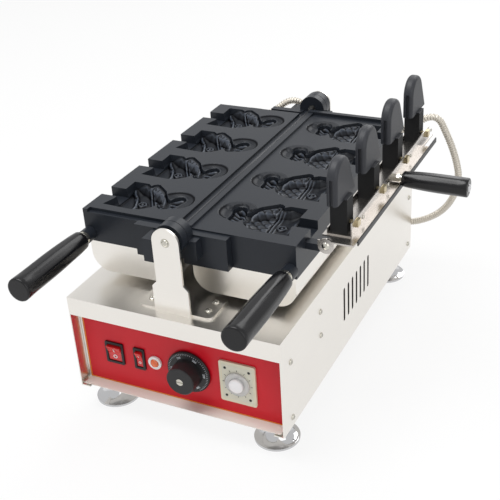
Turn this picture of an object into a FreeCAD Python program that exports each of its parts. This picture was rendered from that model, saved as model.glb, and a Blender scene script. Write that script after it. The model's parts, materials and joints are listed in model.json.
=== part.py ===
import FreeCAD, Part
import Sketcher
import math
import os

# Driving sizes in millimetres and degrees. X runs across the hinge, Y from front to back, Z up.
SIZES = {
    # base housing
    "base_width": 300,
    "base_depth": 516,
    "wall_height": 140,
    "sheet_gauge": 1.5,
    "lip_height": 26,
    "return_width": 14,
    "panel_recess": 18,
    "panel_play": 0.3,
    "panel_ledge": 13,
    "rear_inset": 3,
    "label_gauge": 0.4,
    "label_margin": 3,
    "label_rise": 7,
    "vent_length": 46,
    "vent_width": 6,
    "vent_pitch": 16,
    "vent_count": 7,
    "vent_height": 70,
    # feet
    "foot_height": 36,
    "foot_radius": 30,
    "foot_rim": 3,
    "foot_neck_radius": 12,
    "foot_inset_x": 29,
    "foot_inset_y": 40,
    "foot_bolt_radius": 4,
    "foot_bolt_depth": 18,
    "foot_bolt_head": 5,
    # hinge
    "hinge_height": 100,
    "bracket_gauge": 3,
    "bracket_tab_width": 37,
    "bracket_root_width": 50,
    "bracket_root_height": 37,
    "bracket_foot_width": 104,
    "bracket_foot_depth": 50,
    "bracket_corner": 8,
    "bracket_screw_radius": 4.6,
    "bracket_screw_head": 2.5,
    "pin_radius": 6,
    "pin_play": 0.08,
    "knuckle_radius": 20,
    "knuckle_width": 12,
    "knuckle_gap": 0.8,
    "spacer_radius": 10,
    "spacer_width": 4,
    # mould castings
    "mould_length": 398,
    "mould_reach": 148.5,
    "mould_depth": 45,
    "mould_wall": 8,
    "heater_recess": 16,
    "deck_play": 0.15,
    "left_setback": 12,
    "right_setback": 3,
    "rim_width": 8,
    "rim_height": 3,
    "rear_rim_height": 4.5,
    "rim_play": 0.8,
    "rebate_width": 7,
    "rebate_depth": 4,
    "lug_reach": 64,
    "lug_depth": 12,
    "lug_drop": 2,
    # fish cavities
    "fish_pitch": 95,
    "fish_depth": 15,
    "fish_flank": 1.8,
    "fish_shoulder": 3.6,
    "fish_floor": 5.8,
    "dish_radius": 25,
    "dish_slope": 8,
    "dish_depth": 4,
    "trough_depth": 18,
    # heater covers
    "cover_depth": 45,
    "cover_radius": 26,
    "cover_gauge": 1.2,
    "cover_inset": 3,
    "heater_radius": 4,
    "heater_spacing": 24,
    "heater_play": 0.3,
    # front handles
    "handle_inset": 7.5,
    "handle_drop": 34,
    "boss_radius": 9.5,
    "boss_length": 15,
    "ferrule_radius": 9,
    "ferrule_length": 7,
    "stud_radius": 4,
    "stud_depth": 60,
    "stud_play": 0.05,
    "grip_radius": 15.5,
    "grip_length": 130,
    # core bar
    "core_pivot_gap": 27,
    "core_pivot_drop": 8,
    "core_screw_radius": 2.5,
    "core_screw_play": 0.06,
    "ear_radius": 4.7,
    "ear_width": 12,
    "ear_inset": 27,
    "bar_play": 0.3,
    "plate_gauge": 2,
    "plate_inner": 10,
    "plate_outer": 35,
    "plate_end": 2,
    "plate_short": 45,
    "channel_gauge": 1.5,
    "channel_start": -5,
    "channel_width": 31.5,
    "channel_lip": 9,
    "flange_height": 19,
    "channel_inset": 3,
    "stem_width": 20,
    "stem_inner": 2.5,
    "stem_outer": 19,
    "stem_top": 52.5,
    "hood_thickness": 14,
    "hood_width": 64,
    "hood_height": 53,
    "hood_tip_radius": 24,
    "hood_edge_radius": 5,
    "hood_groove_width": 4,
    "hood_groove_depth": 2.5,
    "stem_play": 1.6,
    "bolt_head_size": 9,
    "bolt_head_height": 4,
    "bolt_radius": 2.5,
    "bolt_depth": 14,
    "bolt_drop": 5,
    "bar_handle_y": 5,
    "bar_handle_rise": 13,
    "bar_nut_radius": 5.5,
    "bar_nut_length": 6,
    "bar_ferrule_length": 4,
    "bar_grip_radius": 12.5,
    "bar_grip_length": 86,
    # controls on the front panel
    "control_height": 55,
    "switch_height": 32.6,
    "main_switch_x": -99,
    "main_switch_width": 27.4,
    "timer_switch_x": -61,
    "timer_switch_width": 16.3,
    "switch_border": 3.2,
    "switch_proud": 2.5,
    "switch_depth": 28,
    "switch_wall": 1.2,
    "rocker_play": 0.35,
    "rocker_tilt": 12,
    "lamp_x": -37.5,
    "lamp_radius": 9.5,
    "lamp_proud": 3,
    "lens_radius": 6,
    "lens_dome": 4,
    "dial_x": 13,
    "dial_radius": 30.5,
    "dial_skirt": 3,
    "dial_gap": 2,
    "knob_radius": 19.5,
    "knob_length": 25,
    "shaft_radius": 3,
    "shaft_play": 0.05,
    "dial_screw_radius": 5,
    "dial_screw_length": 2,
    "thermostat_size": 44,
    "thermostat_depth": 30,
    "timer_x": 82.5,
    "timer_width": 50,
    "timer_height": 61,
    "timer_proud": 3,
    "timer_ring_radius": 19,
    "timer_depth": 46,
    "timer_body_size": 44,
    "timer_knob_radius": 17,
    "timer_knob_length": 9,
    # cable fittings
    "conduit_radius": 5.6,
    "conduit_bore": 4.2,
    "conduit_rib": 0.8,
    "elbow_radius": 8.5,
    "elbow_reach": 17,
    "rear_elbow_height": 36,
    "right_elbow_x": 95,
    "left_elbow_x": 10,
    "right_half_elbow_x": 114,
    "left_half_elbow_x": 108,
    "half_elbow_drop": 20,
    "inlet_radius": 12,
    "inlet_length": 20,
    "inlet_x": -90,
}


class Size:
    """A number together with the sheet expression that drives it."""

    def __init__(self, value, text):
        self.value = float(value)
        self.text = text

    def __add__(self, other):
        other = as_size(other)
        return Size(self.value + other.value, f"({self.text} + {other.text})")

    def __sub__(self, other):
        other = as_size(other)
        return Size(self.value - other.value, f"({self.text} - {other.text})")

    def __mul__(self, other):
        other = as_size(other)
        return Size(self.value * other.value, f"({self.text} * {other.text})")

    def __truediv__(self, other):
        other = as_size(other)
        return Size(self.value / other.value, f"({self.text} / {other.text})")

    def __radd__(self, other):
        return as_size(other) + self

    def __rsub__(self, other):
        return as_size(other) - self

    def __rmul__(self, other):
        return as_size(other) * self

    def __neg__(self):
        return Size(-self.value, f"(-1 * {self.text})")


def as_size(item):
    """A plain number becomes a constant term of an expression."""
    return item if isinstance(item, Size) else Size(item, f"({float(item):.6f})")


def asin_degrees(ratio):
    return Size(math.degrees(math.asin(ratio.value)), f"asin({ratio.text})")


doc = FreeCAD.newDocument("waffle_cone_maker")
sheet = doc.addObject("Spreadsheet::Sheet", "Sizes")
for row, (alias, amount) in enumerate(SIZES.items(), start=1):
    sheet.set(f"A{row}", alias)
    sheet.set(f"B{row}", str(amount))
    sheet.setAlias(f"B{row}", alias)
doc.recompute()

nodes = []


class Sheet:
    """Sizes by name."""

    def __getattr__(self, alias):
        return Size(SIZES[alias], f"Sizes.{alias}")


S = Sheet()

# Levels and lines that several pieces share.
half_width = S.base_width / 2
half_depth = S.base_depth / 2
base_top = S.foot_height + S.wall_height
axis_z = base_top + S.hinge_height
deck_z = axis_z - S.deck_play
mould_bottom = axis_z - S.mould_depth
half_length = S.mould_length / 2
lug_face = half_length + S.lug_depth
right_knuckle = lug_face + S.knuckle_gap
left_knuckle = right_knuckle + S.knuckle_width + S.knuckle_gap
spacer_face = left_knuckle + S.knuckle_width + S.knuckle_gap
bracket_face = spacer_face + S.spacer_width
panel_y = S.panel_recess - half_depth
label_y = panel_y - S.label_gauge
rear_y = half_depth - S.rear_inset
control_z = S.foot_height + S.control_height
handle_x = S.mould_reach - S.handle_inset
handle_z = axis_z - S.handle_drop
boss_face = half_length + S.boss_length
grip_face = boss_face + S.ferrule_length
grip_end = grip_face + S.grip_length
pivot_x = S.mould_reach + S.core_pivot_gap
pivot_z = axis_z - S.core_pivot_drop
plate_z = pivot_z + S.ear_radius + S.bar_play
plate_top = plate_z + S.plate_gauge
channel_floor = plate_top + S.channel_gauge
channel_x = pivot_x + S.channel_start
flange_x = channel_x + S.channel_width
ear_outer = half_length - S.ear_inset
ear_inner = ear_outer - S.ear_width
plate_half = ear_outer + S.bar_play + S.plate_gauge
bar_handle_z = pivot_z + S.bar_handle_rise
bar_grip_x = flange_x + S.bar_nut_length + S.bar_ferrule_length
bar_grip_end = bar_grip_x + S.bar_grip_length
fitting_end = rear_y + S.elbow_reach + S.elbow_radius

# The part's origin lies under the middle of its outer box.
frame_x = (handle_x + S.grip_radius - bar_grip_end) / 2
frame_y = (grip_end - fitting_end) / 2


def number(item):
    return item.value if isinstance(item, Size) else float(item)


def bind(thing, **sizes):
    """Set sizes of an object and tie each to the sheet."""
    for name, item in sizes.items():
        setattr(thing, name, number(item))
        if isinstance(item, Size):
            thing.setExpression(name, item.text)


def put(thing, x=0, y=0, z=0, turn=None):
    """Place an object and tie its position to the sheet."""
    turn = turn or FreeCAD.Rotation()
    thing.Placement = FreeCAD.Placement(FreeCAD.Vector(number(x), number(y), number(z)), turn)
    for name, item in (("x", x), ("y", y), ("z", z)):
        if isinstance(item, Size):
            thing.setExpression(f"Placement.Base.{name}", item.text)
    return thing


AXES = {
    "x": FreeCAD.Rotation(FreeCAD.Vector(0, 1, 0), 90),
    "-x": FreeCAD.Rotation(FreeCAD.Vector(0, 1, 0), -90),
    "y": FreeCAD.Rotation(FreeCAD.Vector(1, 0, 0), -90),
    "-y": FreeCAD.Rotation(FreeCAD.Vector(1, 0, 0), 90),
    "z": FreeCAD.Rotation(),
    "-z": FreeCAD.Rotation(FreeCAD.Vector(1, 0, 0), 180),
}


def box(x, y, z):
    """Block between the two ends of each span."""
    thing = doc.addObject("Part::Box", "Block")
    bind(thing, Length=x[1] - x[0], Width=y[1] - y[0], Height=z[1] - z[0])
    return put(thing, x[0], y[0], z[0])


def rod(radius, length, x, y, z, axis="z"):
    thing = doc.addObject("Part::Cylinder", "Rod")
    bind(thing, Radius=radius, Height=length)
    return put(thing, x, y, z, AXES[axis])


def prism(sides, radius, length, x, y, z, axis="z"):
    thing = doc.addObject("Part::Prism", "Prism")
    thing.Polygon = sides
    bind(thing, Circumradius=radius, Height=length)
    return put(thing, x, y, z, AXES[axis])


def ball(radius, x, y, z):
    thing = doc.addObject("Part::Sphere", "Ball")
    bind(thing, Radius=radius)
    return put(thing, x, y, z)


def dome(radius, height, x, y, z, axis="z"):
    """Spherical cap with its flat side at the given point."""
    curve = (radius * radius + height * height) / (2 * height)
    sunk = curve - height
    thing = doc.addObject("Part::Sphere", "Dome")
    bind(thing, Radius=curve, Angle1=asin_degrees(sunk / curve))
    thing.Angle2 = 90
    aim = AXES[axis].multVec(FreeCAD.Vector(0, 0, 1))
    spot = [start - sunk * way if abs(way) > 0.5 else start for start, way in zip((x, y, z), aim)]
    return put(thing, *spot, AXES[axis])


def fuse(*shapes):
    thing = doc.addObject("Part::MultiFuse", "Joined")
    thing.Shapes = list(shapes)
    thing.Refine = True
    return thing


def gather(*shapes):
    thing = doc.addObject("Part::Compound", "Set")
    thing.Links = list(shapes)
    return thing


def cut(base, *tools):
    thing = doc.addObject("Part::Cut", "Cut")
    thing.Base = base
    thing.Tool = tools[0] if len(tools) == 1 else fuse(*tools)
    return thing


def edges_where(thing, test):
    """Numbers of the edges whose box passes a test."""
    doc.recompute()
    return [n for n, edge in enumerate(thing.Shape.Edges, start=1) if test(edge.BoundBox)]


def round_edges(thing, radius, test):
    """Part fillet of chosen edges."""
    picked = edges_where(thing, test)
    rounded = doc.addObject("Part::Fillet", "Rounded")
    rounded.Base = thing
    rounded.Edges = [(n, number(radius), number(radius)) for n in picked]
    return rounded


def node(label, thing):
    """Name a finished piece and move it into the part's frame."""
    thing.Label = label
    put(thing, frame_x, frame_y, 0)
    nodes.append(thing)
    return thing


def span(side, near, far):
    """X span on one side of the hinge."""
    return (near, far) if side > 0 else (-far, -near)


def vector(point):
    return FreeCAD.Vector(number(point[0]), number(point[1]), 0)


def pin_point(sketch, edge, corner, point):
    """Tie one point of a sketch to the sheet."""
    for kind, item in zip(("DistanceX", "DistanceY"), point):
        index = sketch.addConstraint(Sketcher.Constraint(kind, -1, 1, edge, corner, number(item)))
        if isinstance(item, Size):
            sketch.setExpression(f"Constraints[{index}]", item.text)


def outline(sketch, start, *steps):
    """Closed outline of lines, and of arcs where a step is a pair (point on the way, end)."""
    steps = list(steps)
    closed = isinstance(steps[-1][0], tuple) and steps[-1][1] is start
    if not closed:
        steps.append(start)
    here = start
    ends = []
    for step in steps:
        arc = isinstance(step[0], tuple)
        there = step[1] if arc else step
        if arc:
            shape = Part.Arc(vector(here), vector(step[0]), vector(there))
        else:
            shape = Part.LineSegment(vector(here), vector(there))
        edge = sketch.addGeometry(shape, False)
        forward = (sketch.getPoint(edge, 1) - vector(here)).Length < 1e-6
        first, last = (1, 2) if forward else (2, 1)
        ends.append((edge, first, last))
        pin_point(sketch, edge, first, here)
        here = there
    for (edge, _, last), (following, first, _) in zip(ends, ends[1:] + ends[:1]):
        sketch.addConstraint(Sketcher.Constraint("Coincident", edge, last, following, first))


def disc(sketch, x, y, radius):
    """Circle tied to the sheet."""
    shape = Part.Circle(vector((x, y)), FreeCAD.Vector(0, 0, 1), number(radius))
    edge = sketch.addGeometry(shape, False)
    pin_point(sketch, edge, 3, (x, y))
    index = sketch.addConstraint(Sketcher.Constraint("Radius", edge, number(radius)))
    if isinstance(radius, Size):
        sketch.setExpression(f"Constraints[{index}]", radius.text)


def new_body(label):
    return doc.addObject("PartDesign::Body", label)


def sketch_on(body, role, lift=0, right=0, up=0):
    """Empty sketch on one of a body's origin planes, moved by the given offsets."""
    sketch = body.newObject("Sketcher::SketchObject", "Sketch")
    plane = next(item for item in body.Origin.OriginFeatures if item.Role == role)
    sketch.AttachmentSupport = [(plane, "")]
    sketch.MapMode = "FlatFace"
    place = FreeCAD.Vector(number(right), number(up), number(lift))
    sketch.AttachmentOffset = FreeCAD.Placement(place, FreeCAD.Rotation())
    for name, item in (("x", right), ("y", up), ("z", lift)):
        if isinstance(item, Size):
            sketch.setExpression(f"AttachmentOffset.Base.{name}", item.text)
    return sketch


def pad(body, sketch, length):
    feature = body.newObject("PartDesign::Pad", "Pad")
    feature.Profile = sketch
    bind(feature, Length=length)
    return feature


def pocket(body, sketch, length):
    """Cut against the sketch's normal, and make sure that it removed something."""
    doc.recompute()
    before = body.Shape.Volume
    feature = body.newObject("PartDesign::Pocket", "Pocket")
    feature.Profile = sketch
    bind(feature, Length=length)
    doc.recompute()
    if body.Shape.Volume > before - 1e-3:
        raise RuntimeError(f"a pocket of {body.Label} cut nothing")
    return feature


def revolve(body, sketch, axis="V_Axis"):
    feature = body.newObject("PartDesign::Revolution", "Revolution")
    feature.Profile = sketch
    feature.ReferenceAxis = (sketch, [axis])
    feature.Angle = 360
    return feature


def round_body(body, feature, radius, test):
    """PartDesign fillet of chosen edges of the body's last feature."""
    picked = edges_where(feature, test)
    rounded = body.newObject("PartDesign::Fillet", "Fillet")
    rounded.Base = (feature, [f"Edge{n}" for n in picked])
    bind(rounded, Radius=radius)
    return rounded


def repeat(body, feature, direction, length, count):
    """Straight row of a feature."""
    pattern = body.newObject("PartDesign::LinearPattern", "Row")
    pattern.Originals = [feature]
    axis = next(item for item in body.Origin.OriginFeatures if item.Role == direction)
    pattern.Direction = (axis, [""])
    bind(pattern, Length=length)
    pattern.Occurrences = int(count)
    body.Tip = pattern
    return pattern


def dome_screw(radius, height, shank, depth, x, y, z, axis):
    """Round-headed screw whose head sits at the given point and whose shank goes the other way."""
    back = axis[1:] if axis.startswith("-") else "-" + axis
    return fuse(dome(radius, height, x, y, z, axis), rod(shank, depth, x, y, z, back))


# ---- base ----

def build_housing():
    body = new_body("housing_cover")
    low = S.foot_height
    skin = S.sheet_gauge
    section = sketch_on(body, "XZ_Plane", -half_depth)
    outline(
        section,
        (S.return_width - half_width, low),
        (-half_width, low),
        (-half_width, base_top),
        (half_width, base_top),
        (half_width, low),
        (half_width - S.return_width, low),
        (half_width - S.return_width, low + skin),
        (half_width - skin, low + skin),
        (half_width - skin, base_top - skin),
        (skin - half_width, base_top - skin),
        (skin - half_width, low + skin),
        (S.return_width - half_width, low + skin),
    )
    pad(body, section, S.base_depth)
    for lift, height in ((half_depth, S.lip_height), (skin - half_depth, skin * 8)):
        lip = sketch_on(body, "XZ_Plane", lift - skin)
        outline(
            lip,
            (skin - half_width, base_top - height),
            (half_width - skin, base_top - height),
            (half_width - skin, base_top - skin),
            (skin - half_width, base_top - skin),
        )
        pad(body, lip, skin)
    slot = sketch_on(body, "YZ_Plane", half_width + 1)
    first = S.vent_pitch * (1 - S.vent_count) / 2
    wide = S.vent_width / 2
    bottom = S.foot_height + S.vent_height - S.vent_length / 2
    top = S.foot_height + S.vent_height + S.vent_length / 2
    corner = (first - wide, bottom)
    outline(
        slot,
        corner,
        ((first, bottom - wide), (first + wide, bottom)),
        (first + wide, top),
        ((first, top + wide), (first - wide, top)),
    )
    vent = pocket(body, slot, S.base_width + 2)
    repeat(body, vent, "Y_Axis", S.vent_pitch * (S.vent_count - 1), SIZES["vent_count"])
    node("housing_cover", body)


def bracket_screw_places():
    for end in (-1, 1):
        for side in (-1, 1):
            for back in (0.32, 0.72):
                yield (
                    side * (S.bracket_foot_width / 2 - 12),
                    end * (bracket_face - S.bracket_foot_depth * back),
                )


def panel_openings(play):
    """Tools that open the front panel and its label for the controls."""
    low = control_z - S.switch_height / 2 + S.switch_border - S.switch_wall - play
    high = control_z + S.switch_height / 2 - S.switch_border + S.switch_wall + play
    deep = (label_y - 5, panel_y + 10)
    for centre, width in ((S.main_switch_x, S.main_switch_width), (S.timer_switch_x, S.timer_switch_width)):
        reach = width / 2 - S.switch_border + S.switch_wall + play
        yield box((centre - reach, centre + reach), deep, (low, high))
    length = S.label_gauge + 15
    yield rod(S.lens_radius + 1 + play, length, S.lamp_x, label_y - 5, control_z, "y")
    yield rod(S.shaft_radius + 2 + play, length, S.dial_x, label_y - 5, control_z, "y")
    reach = S.timer_body_size / 2 + play
    yield box((S.timer_x - reach, S.timer_x + reach), deep, (control_z - reach, control_z + reach))


def build_panels():
    body = new_body("front_panel_blank")
    low = S.foot_height + S.sheet_gauge
    high = base_top - S.sheet_gauge
    wide = half_width - S.sheet_gauge - S.panel_play
    skin = S.sheet_gauge
    section = sketch_on(body, "YZ_Plane", -wide)
    outline(
        section,
        (panel_y - S.panel_ledge, low),
        (panel_y + skin, low),
        (panel_y + skin, high),
        (panel_y, high),
        (panel_y, low + skin),
        (panel_y - S.panel_ledge, low + skin),
    )
    pad(body, section, wide * 2)
    node("front_panel", cut(body, *panel_openings(0.2)))
    margin = wide - S.label_margin
    sheet_low = low + S.label_rise
    label = box((-margin, margin), (label_y, panel_y), (sheet_low, high - S.label_margin))
    node("panel_label", cut(label, *panel_openings(0.3)))
    back = box((-wide, wide), (rear_y - skin, rear_y), (low + skin, high))
    inlet = rod(S.inlet_radius - 3, 30, S.inlet_x, rear_y - 15, S.foot_height + S.rear_elbow_height, "y")
    tools = [inlet]
    for centre in (S.right_elbow_x, S.left_elbow_x):
        tools.append(rod(S.conduit_radius, 30, centre, rear_y - 15, S.foot_height + S.rear_elbow_height, "y"))
    node("rear_panel", cut(back, *tools))
    floor = box((-wide, wide), (panel_y + skin + S.panel_play, rear_y), (low, low + skin))
    tools = [rod(S.foot_bolt_radius + 0.3, 20, x, y, low - 5) for x, y in foot_places()]
    node("bottom_plate", cut(floor, *tools))


def foot_places():
    for y in (S.foot_inset_y - half_depth, half_depth - S.foot_inset_y):
        for x in (S.foot_inset_x - half_width, half_width - S.foot_inset_x):
            yield x, y


def build_feet():
    labels = ("foot_front_left", "foot_front_right", "foot_rear_left", "foot_rear_right")
    top = S.foot_height + S.sheet_gauge
    bolts = []
    for label, (x, y) in zip(labels, foot_places()):
        body = new_body(label)
        section = sketch_on(body, "XZ_Plane", -y, x)
        hole = S.foot_bolt_radius + S.stud_play
        neck = S.foot_neck_radius
        waist = (neck + S.foot_radius / 20, S.foot_height / 2)
        outline(
            section,
            (0, 0),
            (S.foot_radius, 0),
            (S.foot_radius, S.foot_rim),
            ((neck + S.foot_radius * 0.19, S.foot_height * 0.28), waist),
            (neck, top),
            (hole, top),
            (hole, top - S.foot_bolt_depth),
            (0, top - S.foot_bolt_depth),
        )
        revolve(body, section)
        node(label, body)
        seat = top + S.sheet_gauge
        head = prism(6, S.foot_bolt_radius * 1.8, S.foot_bolt_head, x, y, seat)
        shank = rod(S.foot_bolt_radius, S.foot_bolt_depth + S.sheet_gauge, x, y, top - S.foot_bolt_depth)
        bolts.append(fuse(head, shank))
    node("foot_bolts", gather(*bolts))


def build_brackets():
    for end, label in ((-1, "hinge_bracket_front"), (1, "hinge_bracket_rear")):
        body = new_body(label)
        skin = S.bracket_gauge
        tab = S.bracket_tab_width / 2
        root = S.bracket_root_width / 2
        step = base_top + S.bracket_root_height
        lift = bracket_face if end < 0 else -bracket_face - skin
        upright = sketch_on(body, "XZ_Plane", lift)
        outline(
            upright,
            (-root, base_top),
            (root, base_top),
            (root, step),
            (tab, step + (root - tab)),
            (tab, axis_z),
            ((0, axis_z + tab), (-tab, axis_z)),
            (-tab, step + (root - tab)),
            (-root, step),
        )
        pad(body, upright, skin)
        foot = sketch_on(body, "XY_Plane", base_top)
        wide = S.bracket_foot_width / 2
        outline(
            foot,
            (-wide, end * bracket_face),
            (wide, end * bracket_face),
            (wide, end * (bracket_face - S.bracket_foot_depth)),
            (-wide, end * (bracket_face - S.bracket_foot_depth)),
        )
        plate = pad(body, foot, skin)
        reach = number(wide)

        def at_corner(b):
            return b.ZLength > 2 and b.XLength < 0.1 and b.YLength < 0.1 and abs(abs(b.XMin) - reach) < 0.1

        round_body(body, plate, S.bracket_corner, at_corner)
        bore = sketch_on(body, "XZ_Plane", lift + skin + 1)
        disc(bore, 0, axis_z, S.pin_radius + S.stud_play)
        pocket(body, bore, skin + 2)
        holes = sketch_on(body, "XY_Plane", base_top + skin + 1)
        for x, y in bracket_screw_places():
            if number(y) * end > 0:
                disc(holes, x, y, S.bracket_screw_radius / 2 + S.stud_play)
        pocket(body, holes, skin + 2)
        node(label, body)
    screws = []
    for x, y in bracket_screw_places():
        head = rod(S.bracket_screw_radius, S.bracket_screw_head, x, y, base_top + S.bracket_gauge)
        shank = rod(S.bracket_screw_radius / 2, S.bracket_gauge, x, y, base_top)
        screws.append(fuse(head, shank))
    node("bracket_screws", gather(*screws))
    inner = lug_face + S.knuckle_gap
    outer = bracket_face + S.bracket_gauge
    pins = [
        rod(S.pin_radius, outer - inner, 0, -outer, axis_z, "y"),
        rod(S.pin_radius, outer - inner, 0, inner, axis_z, "y"),
    ]
    node("hinge_pins", gather(*pins))
    rings = []
    for start in (-bracket_face, spacer_face):
        ring = rod(S.spacer_radius, S.spacer_width, 0, start, axis_z, "y")
        rings.append(cut(ring, rod(S.pin_radius + S.stud_play, S.spacer_width + 2, 0, start - 1, axis_z, "y")))
    node("hinge_spacers", gather(*rings))


# ---- controls ----


def build_switch(name, centre, width):
    bezel_half = width / 2
    tall = S.switch_height / 2
    inner = bezel_half - S.switch_border
    inner_tall = tall - S.switch_border
    wall = S.switch_wall
    front = label_y - S.switch_proud
    back = panel_y + S.switch_depth
    bezel = box((centre - bezel_half, centre + bezel_half), (front, label_y), (control_z - tall, control_z + tall))
    shell = box(
        (centre - inner - wall, centre + inner + wall),
        (label_y, back),
        (control_z - inner_tall - wall, control_z + inner_tall + wall),
    )
    hollow = box(
        (centre - inner, centre + inner),
        (front - 1, back - wall * 2),
        (control_z - inner_tall, control_z + inner_tall),
    )

    def at_rim(b):
        return b.YLength > 1 and b.YLength < 4

    node(f"{name}_body", cut(fuse(round_edges(bezel, 1.5, at_rim), shell), hollow))
    body = new_body(f"{name}_rocker")
    half = inner - S.rocker_play
    lift = centre - half
    section = sketch_on(body, "YZ_Plane", lift)
    tilt = math.radians(SIZES["rocker_tilt"])
    reach = inner_tall - S.rocker_play
    corners = []
    for forward, share in ((-6, -0.86), (-6, 0.86), (4, 0.94), (2, 0), (4, -0.94)):
        rise = reach * share
        y = panel_y - forward * math.cos(tilt) - rise * math.sin(tilt)
        z = control_z + rise * math.cos(tilt) - forward * math.sin(tilt)
        corners.append((y, z))
    outline(section, *corners)
    pad(body, section, half * 2)
    node(f"{name}_rocker", body)


def build_controls():
    build_switch("main_switch", S.main_switch_x, S.main_switch_width)
    build_switch("timer_switch", S.timer_switch_x, S.timer_switch_width)
    x = S.lamp_x
    ring = rod(S.lamp_radius, S.lamp_proud, x, label_y - S.lamp_proud, control_z, "y")
    sleeve = rod(S.lens_radius + 1, 22, x, label_y, control_z, "y")
    socket = rod(S.lens_radius + S.stud_play, 12, x, label_y - S.lamp_proud - 1, control_z, "y")
    node("lamp_bezel", cut(fuse(ring, sleeve), socket))
    seat = label_y - S.lamp_proud + 11
    glass = rod(S.lens_radius, 11, x, seat, control_z, "-y")
    node("lamp_lens", fuse(glass, dome(S.lens_radius, S.lens_dome, x, seat - 11, control_z, "-y")))
    build_thermostat()
    build_timer()


def build_thermostat():
    x = S.dial_x
    reach = S.thermostat_size / 2
    skin = panel_y + S.sheet_gauge
    case = box((x - reach, x + reach), (skin, skin + S.thermostat_depth), (control_z - reach, control_z + reach))
    dial_back = label_y - S.dial_gap
    dial_front = dial_back - S.knob_length
    tip = dial_front + 5
    shaft = rod(S.shaft_radius, skin - tip, x, tip, control_z, "y")
    node("thermostat_body", fuse(case, shaft))
    body = new_body("thermostat_dial")
    section = sketch_on(body, "XY_Plane", control_z, x)
    bore = S.shaft_radius + S.shaft_play
    edge = dial_back - S.dial_skirt
    outline(
        section,
        (bore, dial_back),
        (S.dial_radius, dial_back),
        (S.dial_radius, dial_back - S.dial_skirt / 2),
        (S.dial_radius - 1, edge),
        (S.knob_radius + 1, edge - 1),
        (S.knob_radius, dial_front + 1.5),
        (S.knob_radius - 1.5, dial_front),
        (S.dial_screw_radius, dial_front),
        (S.dial_screw_radius, dial_front + S.dial_screw_length),
        (bore, dial_front + S.dial_screw_length),
    )
    revolve(body, section)
    node("thermostat_dial", body)
    head = rod(S.dial_screw_radius - 0.2, S.dial_screw_length, x, dial_front, control_z, "y")
    slot = box((x - 6, x + 6), (dial_front - 1, dial_front + 0.8), (control_z - 0.6, control_z + 0.6))
    node("dial_screw", cut(head, slot))


def build_timer():
    x = S.timer_x
    wide = S.timer_width / 2
    tall = S.timer_height / 2
    reach = S.timer_body_size / 2
    front = label_y - S.timer_proud
    face = box((x - wide, x + wide), (front, label_y), (control_z - tall, control_z + tall))

    def at_corner(b):
        return b.YLength > 2 and b.YLength < 4

    case = box((x - reach, x + reach), (label_y, panel_y + S.timer_depth), (control_z - reach, control_z + reach))
    well = rod(S.timer_ring_radius, S.timer_proud * 0.6 + 1, x, front - 1, control_z, "y")
    tip = front - S.timer_knob_length + 2
    shaft = rod(S.shaft_radius, label_y - tip, x, tip, control_z, "y")
    node("timer_body", fuse(cut(fuse(round_edges(face, 3, at_corner), case), well), shaft))
    body = new_body("timer_knob")
    section = sketch_on(body, "XY_Plane", control_z, x)
    bore = S.shaft_radius + S.shaft_play
    back = front + S.timer_proud * 0.6 - 0.3
    top = front - S.timer_knob_length
    outline(
        section,
        (bore, back),
        (S.timer_knob_radius, back),
        (S.timer_knob_radius, front - 2.5),
        (S.timer_knob_radius - 1, front - 3.5),
        (S.timer_knob_radius * 0.72, front - 4),
        (S.timer_knob_radius * 0.66, top + 1),
        (S.timer_knob_radius * 0.6, top),
        (0, top),
        (0, tip - 0.3),
        (bore, tip - 0.3),
    )
    revolve(body, section)
    node("timer_knob", body)


def build_inside():
    top = S.foot_height + S.sheet_gauge * 2
    block = box((-60, 20), (60, 84), (top, top + 22))
    posts = [rod(3, 30, -50 + 20 * n, 72, top + 6) for n in range(4)]
    node("terminal_block", cut(block, *posts))


# ---- conduits ----


def route(points):
    """Straight runs joined by tangent arcs, as a list of line and arc pieces."""
    points = [FreeCAD.Vector(*point) for point in points]
    pieces = []
    here = points[0]
    radii = []
    for before, corner, after in zip(points, points[1:], points[2:]):
        into = (corner - before).normalize()
        out = (after - corner).normalize()
        turn = into.getAngle(out)
        run = min((corner - before).Length, (after - corner).Length)
        radius = 0.45 * run / math.tan(turn / 2)
        radii.append(radius)
        start = corner - into * (0.45 * run)
        pieces.append(("line", here, into, (start - here).Length))
        axis = into.cross(out).normalize()
        centre = start + axis.cross(into) * radius
        pieces.append(("arc", centre, start - centre, axis, turn, radius))
        here = corner + out * (0.45 * run)
    last = points[-1] - here
    pieces.append(("line", here, FreeCAD.Vector(last).normalize(), last.Length))
    print("bend radii:", " ".join(f"{radius:.0f}" for radius in radii))
    return pieces


def walk(pieces, steps):
    """Points and directions at even steps along a route."""
    lengths = [piece[3] if piece[0] == "line" else piece[4] * piece[5] for piece in pieces]
    total = sum(lengths)
    for step in steps:
        left = step * total
        for piece, length in zip(pieces, lengths):
            if left <= length + 1e-9:
                break
            left -= length
        if piece[0] == "line":
            yield piece[1] + piece[2] * left, piece[2]
        else:
            turn = FreeCAD.Rotation(piece[3], math.degrees(left / piece[5]))
            arm = turn.multVec(piece[2])
            yield piece[1] + arm, piece[3].cross(arm).normalize()


def rings(pieces, steps, radii):
    """Circles across a route, all turned the same way about it."""
    across = None
    wires = []
    for (point, ahead), radius in zip(walk(pieces, steps), radii):
        across = across or (FreeCAD.Vector(0, 0, 1) - ahead * ahead.z)
        across = (across - ahead * across.dot(ahead)).normalize()
        wire = Part.Wire(Part.Circle(FreeCAD.Vector(), FreeCAD.Vector(0, 0, 1), radius).toShape())
        turn = FreeCAD.Rotation(across, ahead.cross(across), ahead, "ZXY")
        wire.Placement = FreeCAD.Placement(point, turn)
        wires.append(wire)
    return wires


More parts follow.
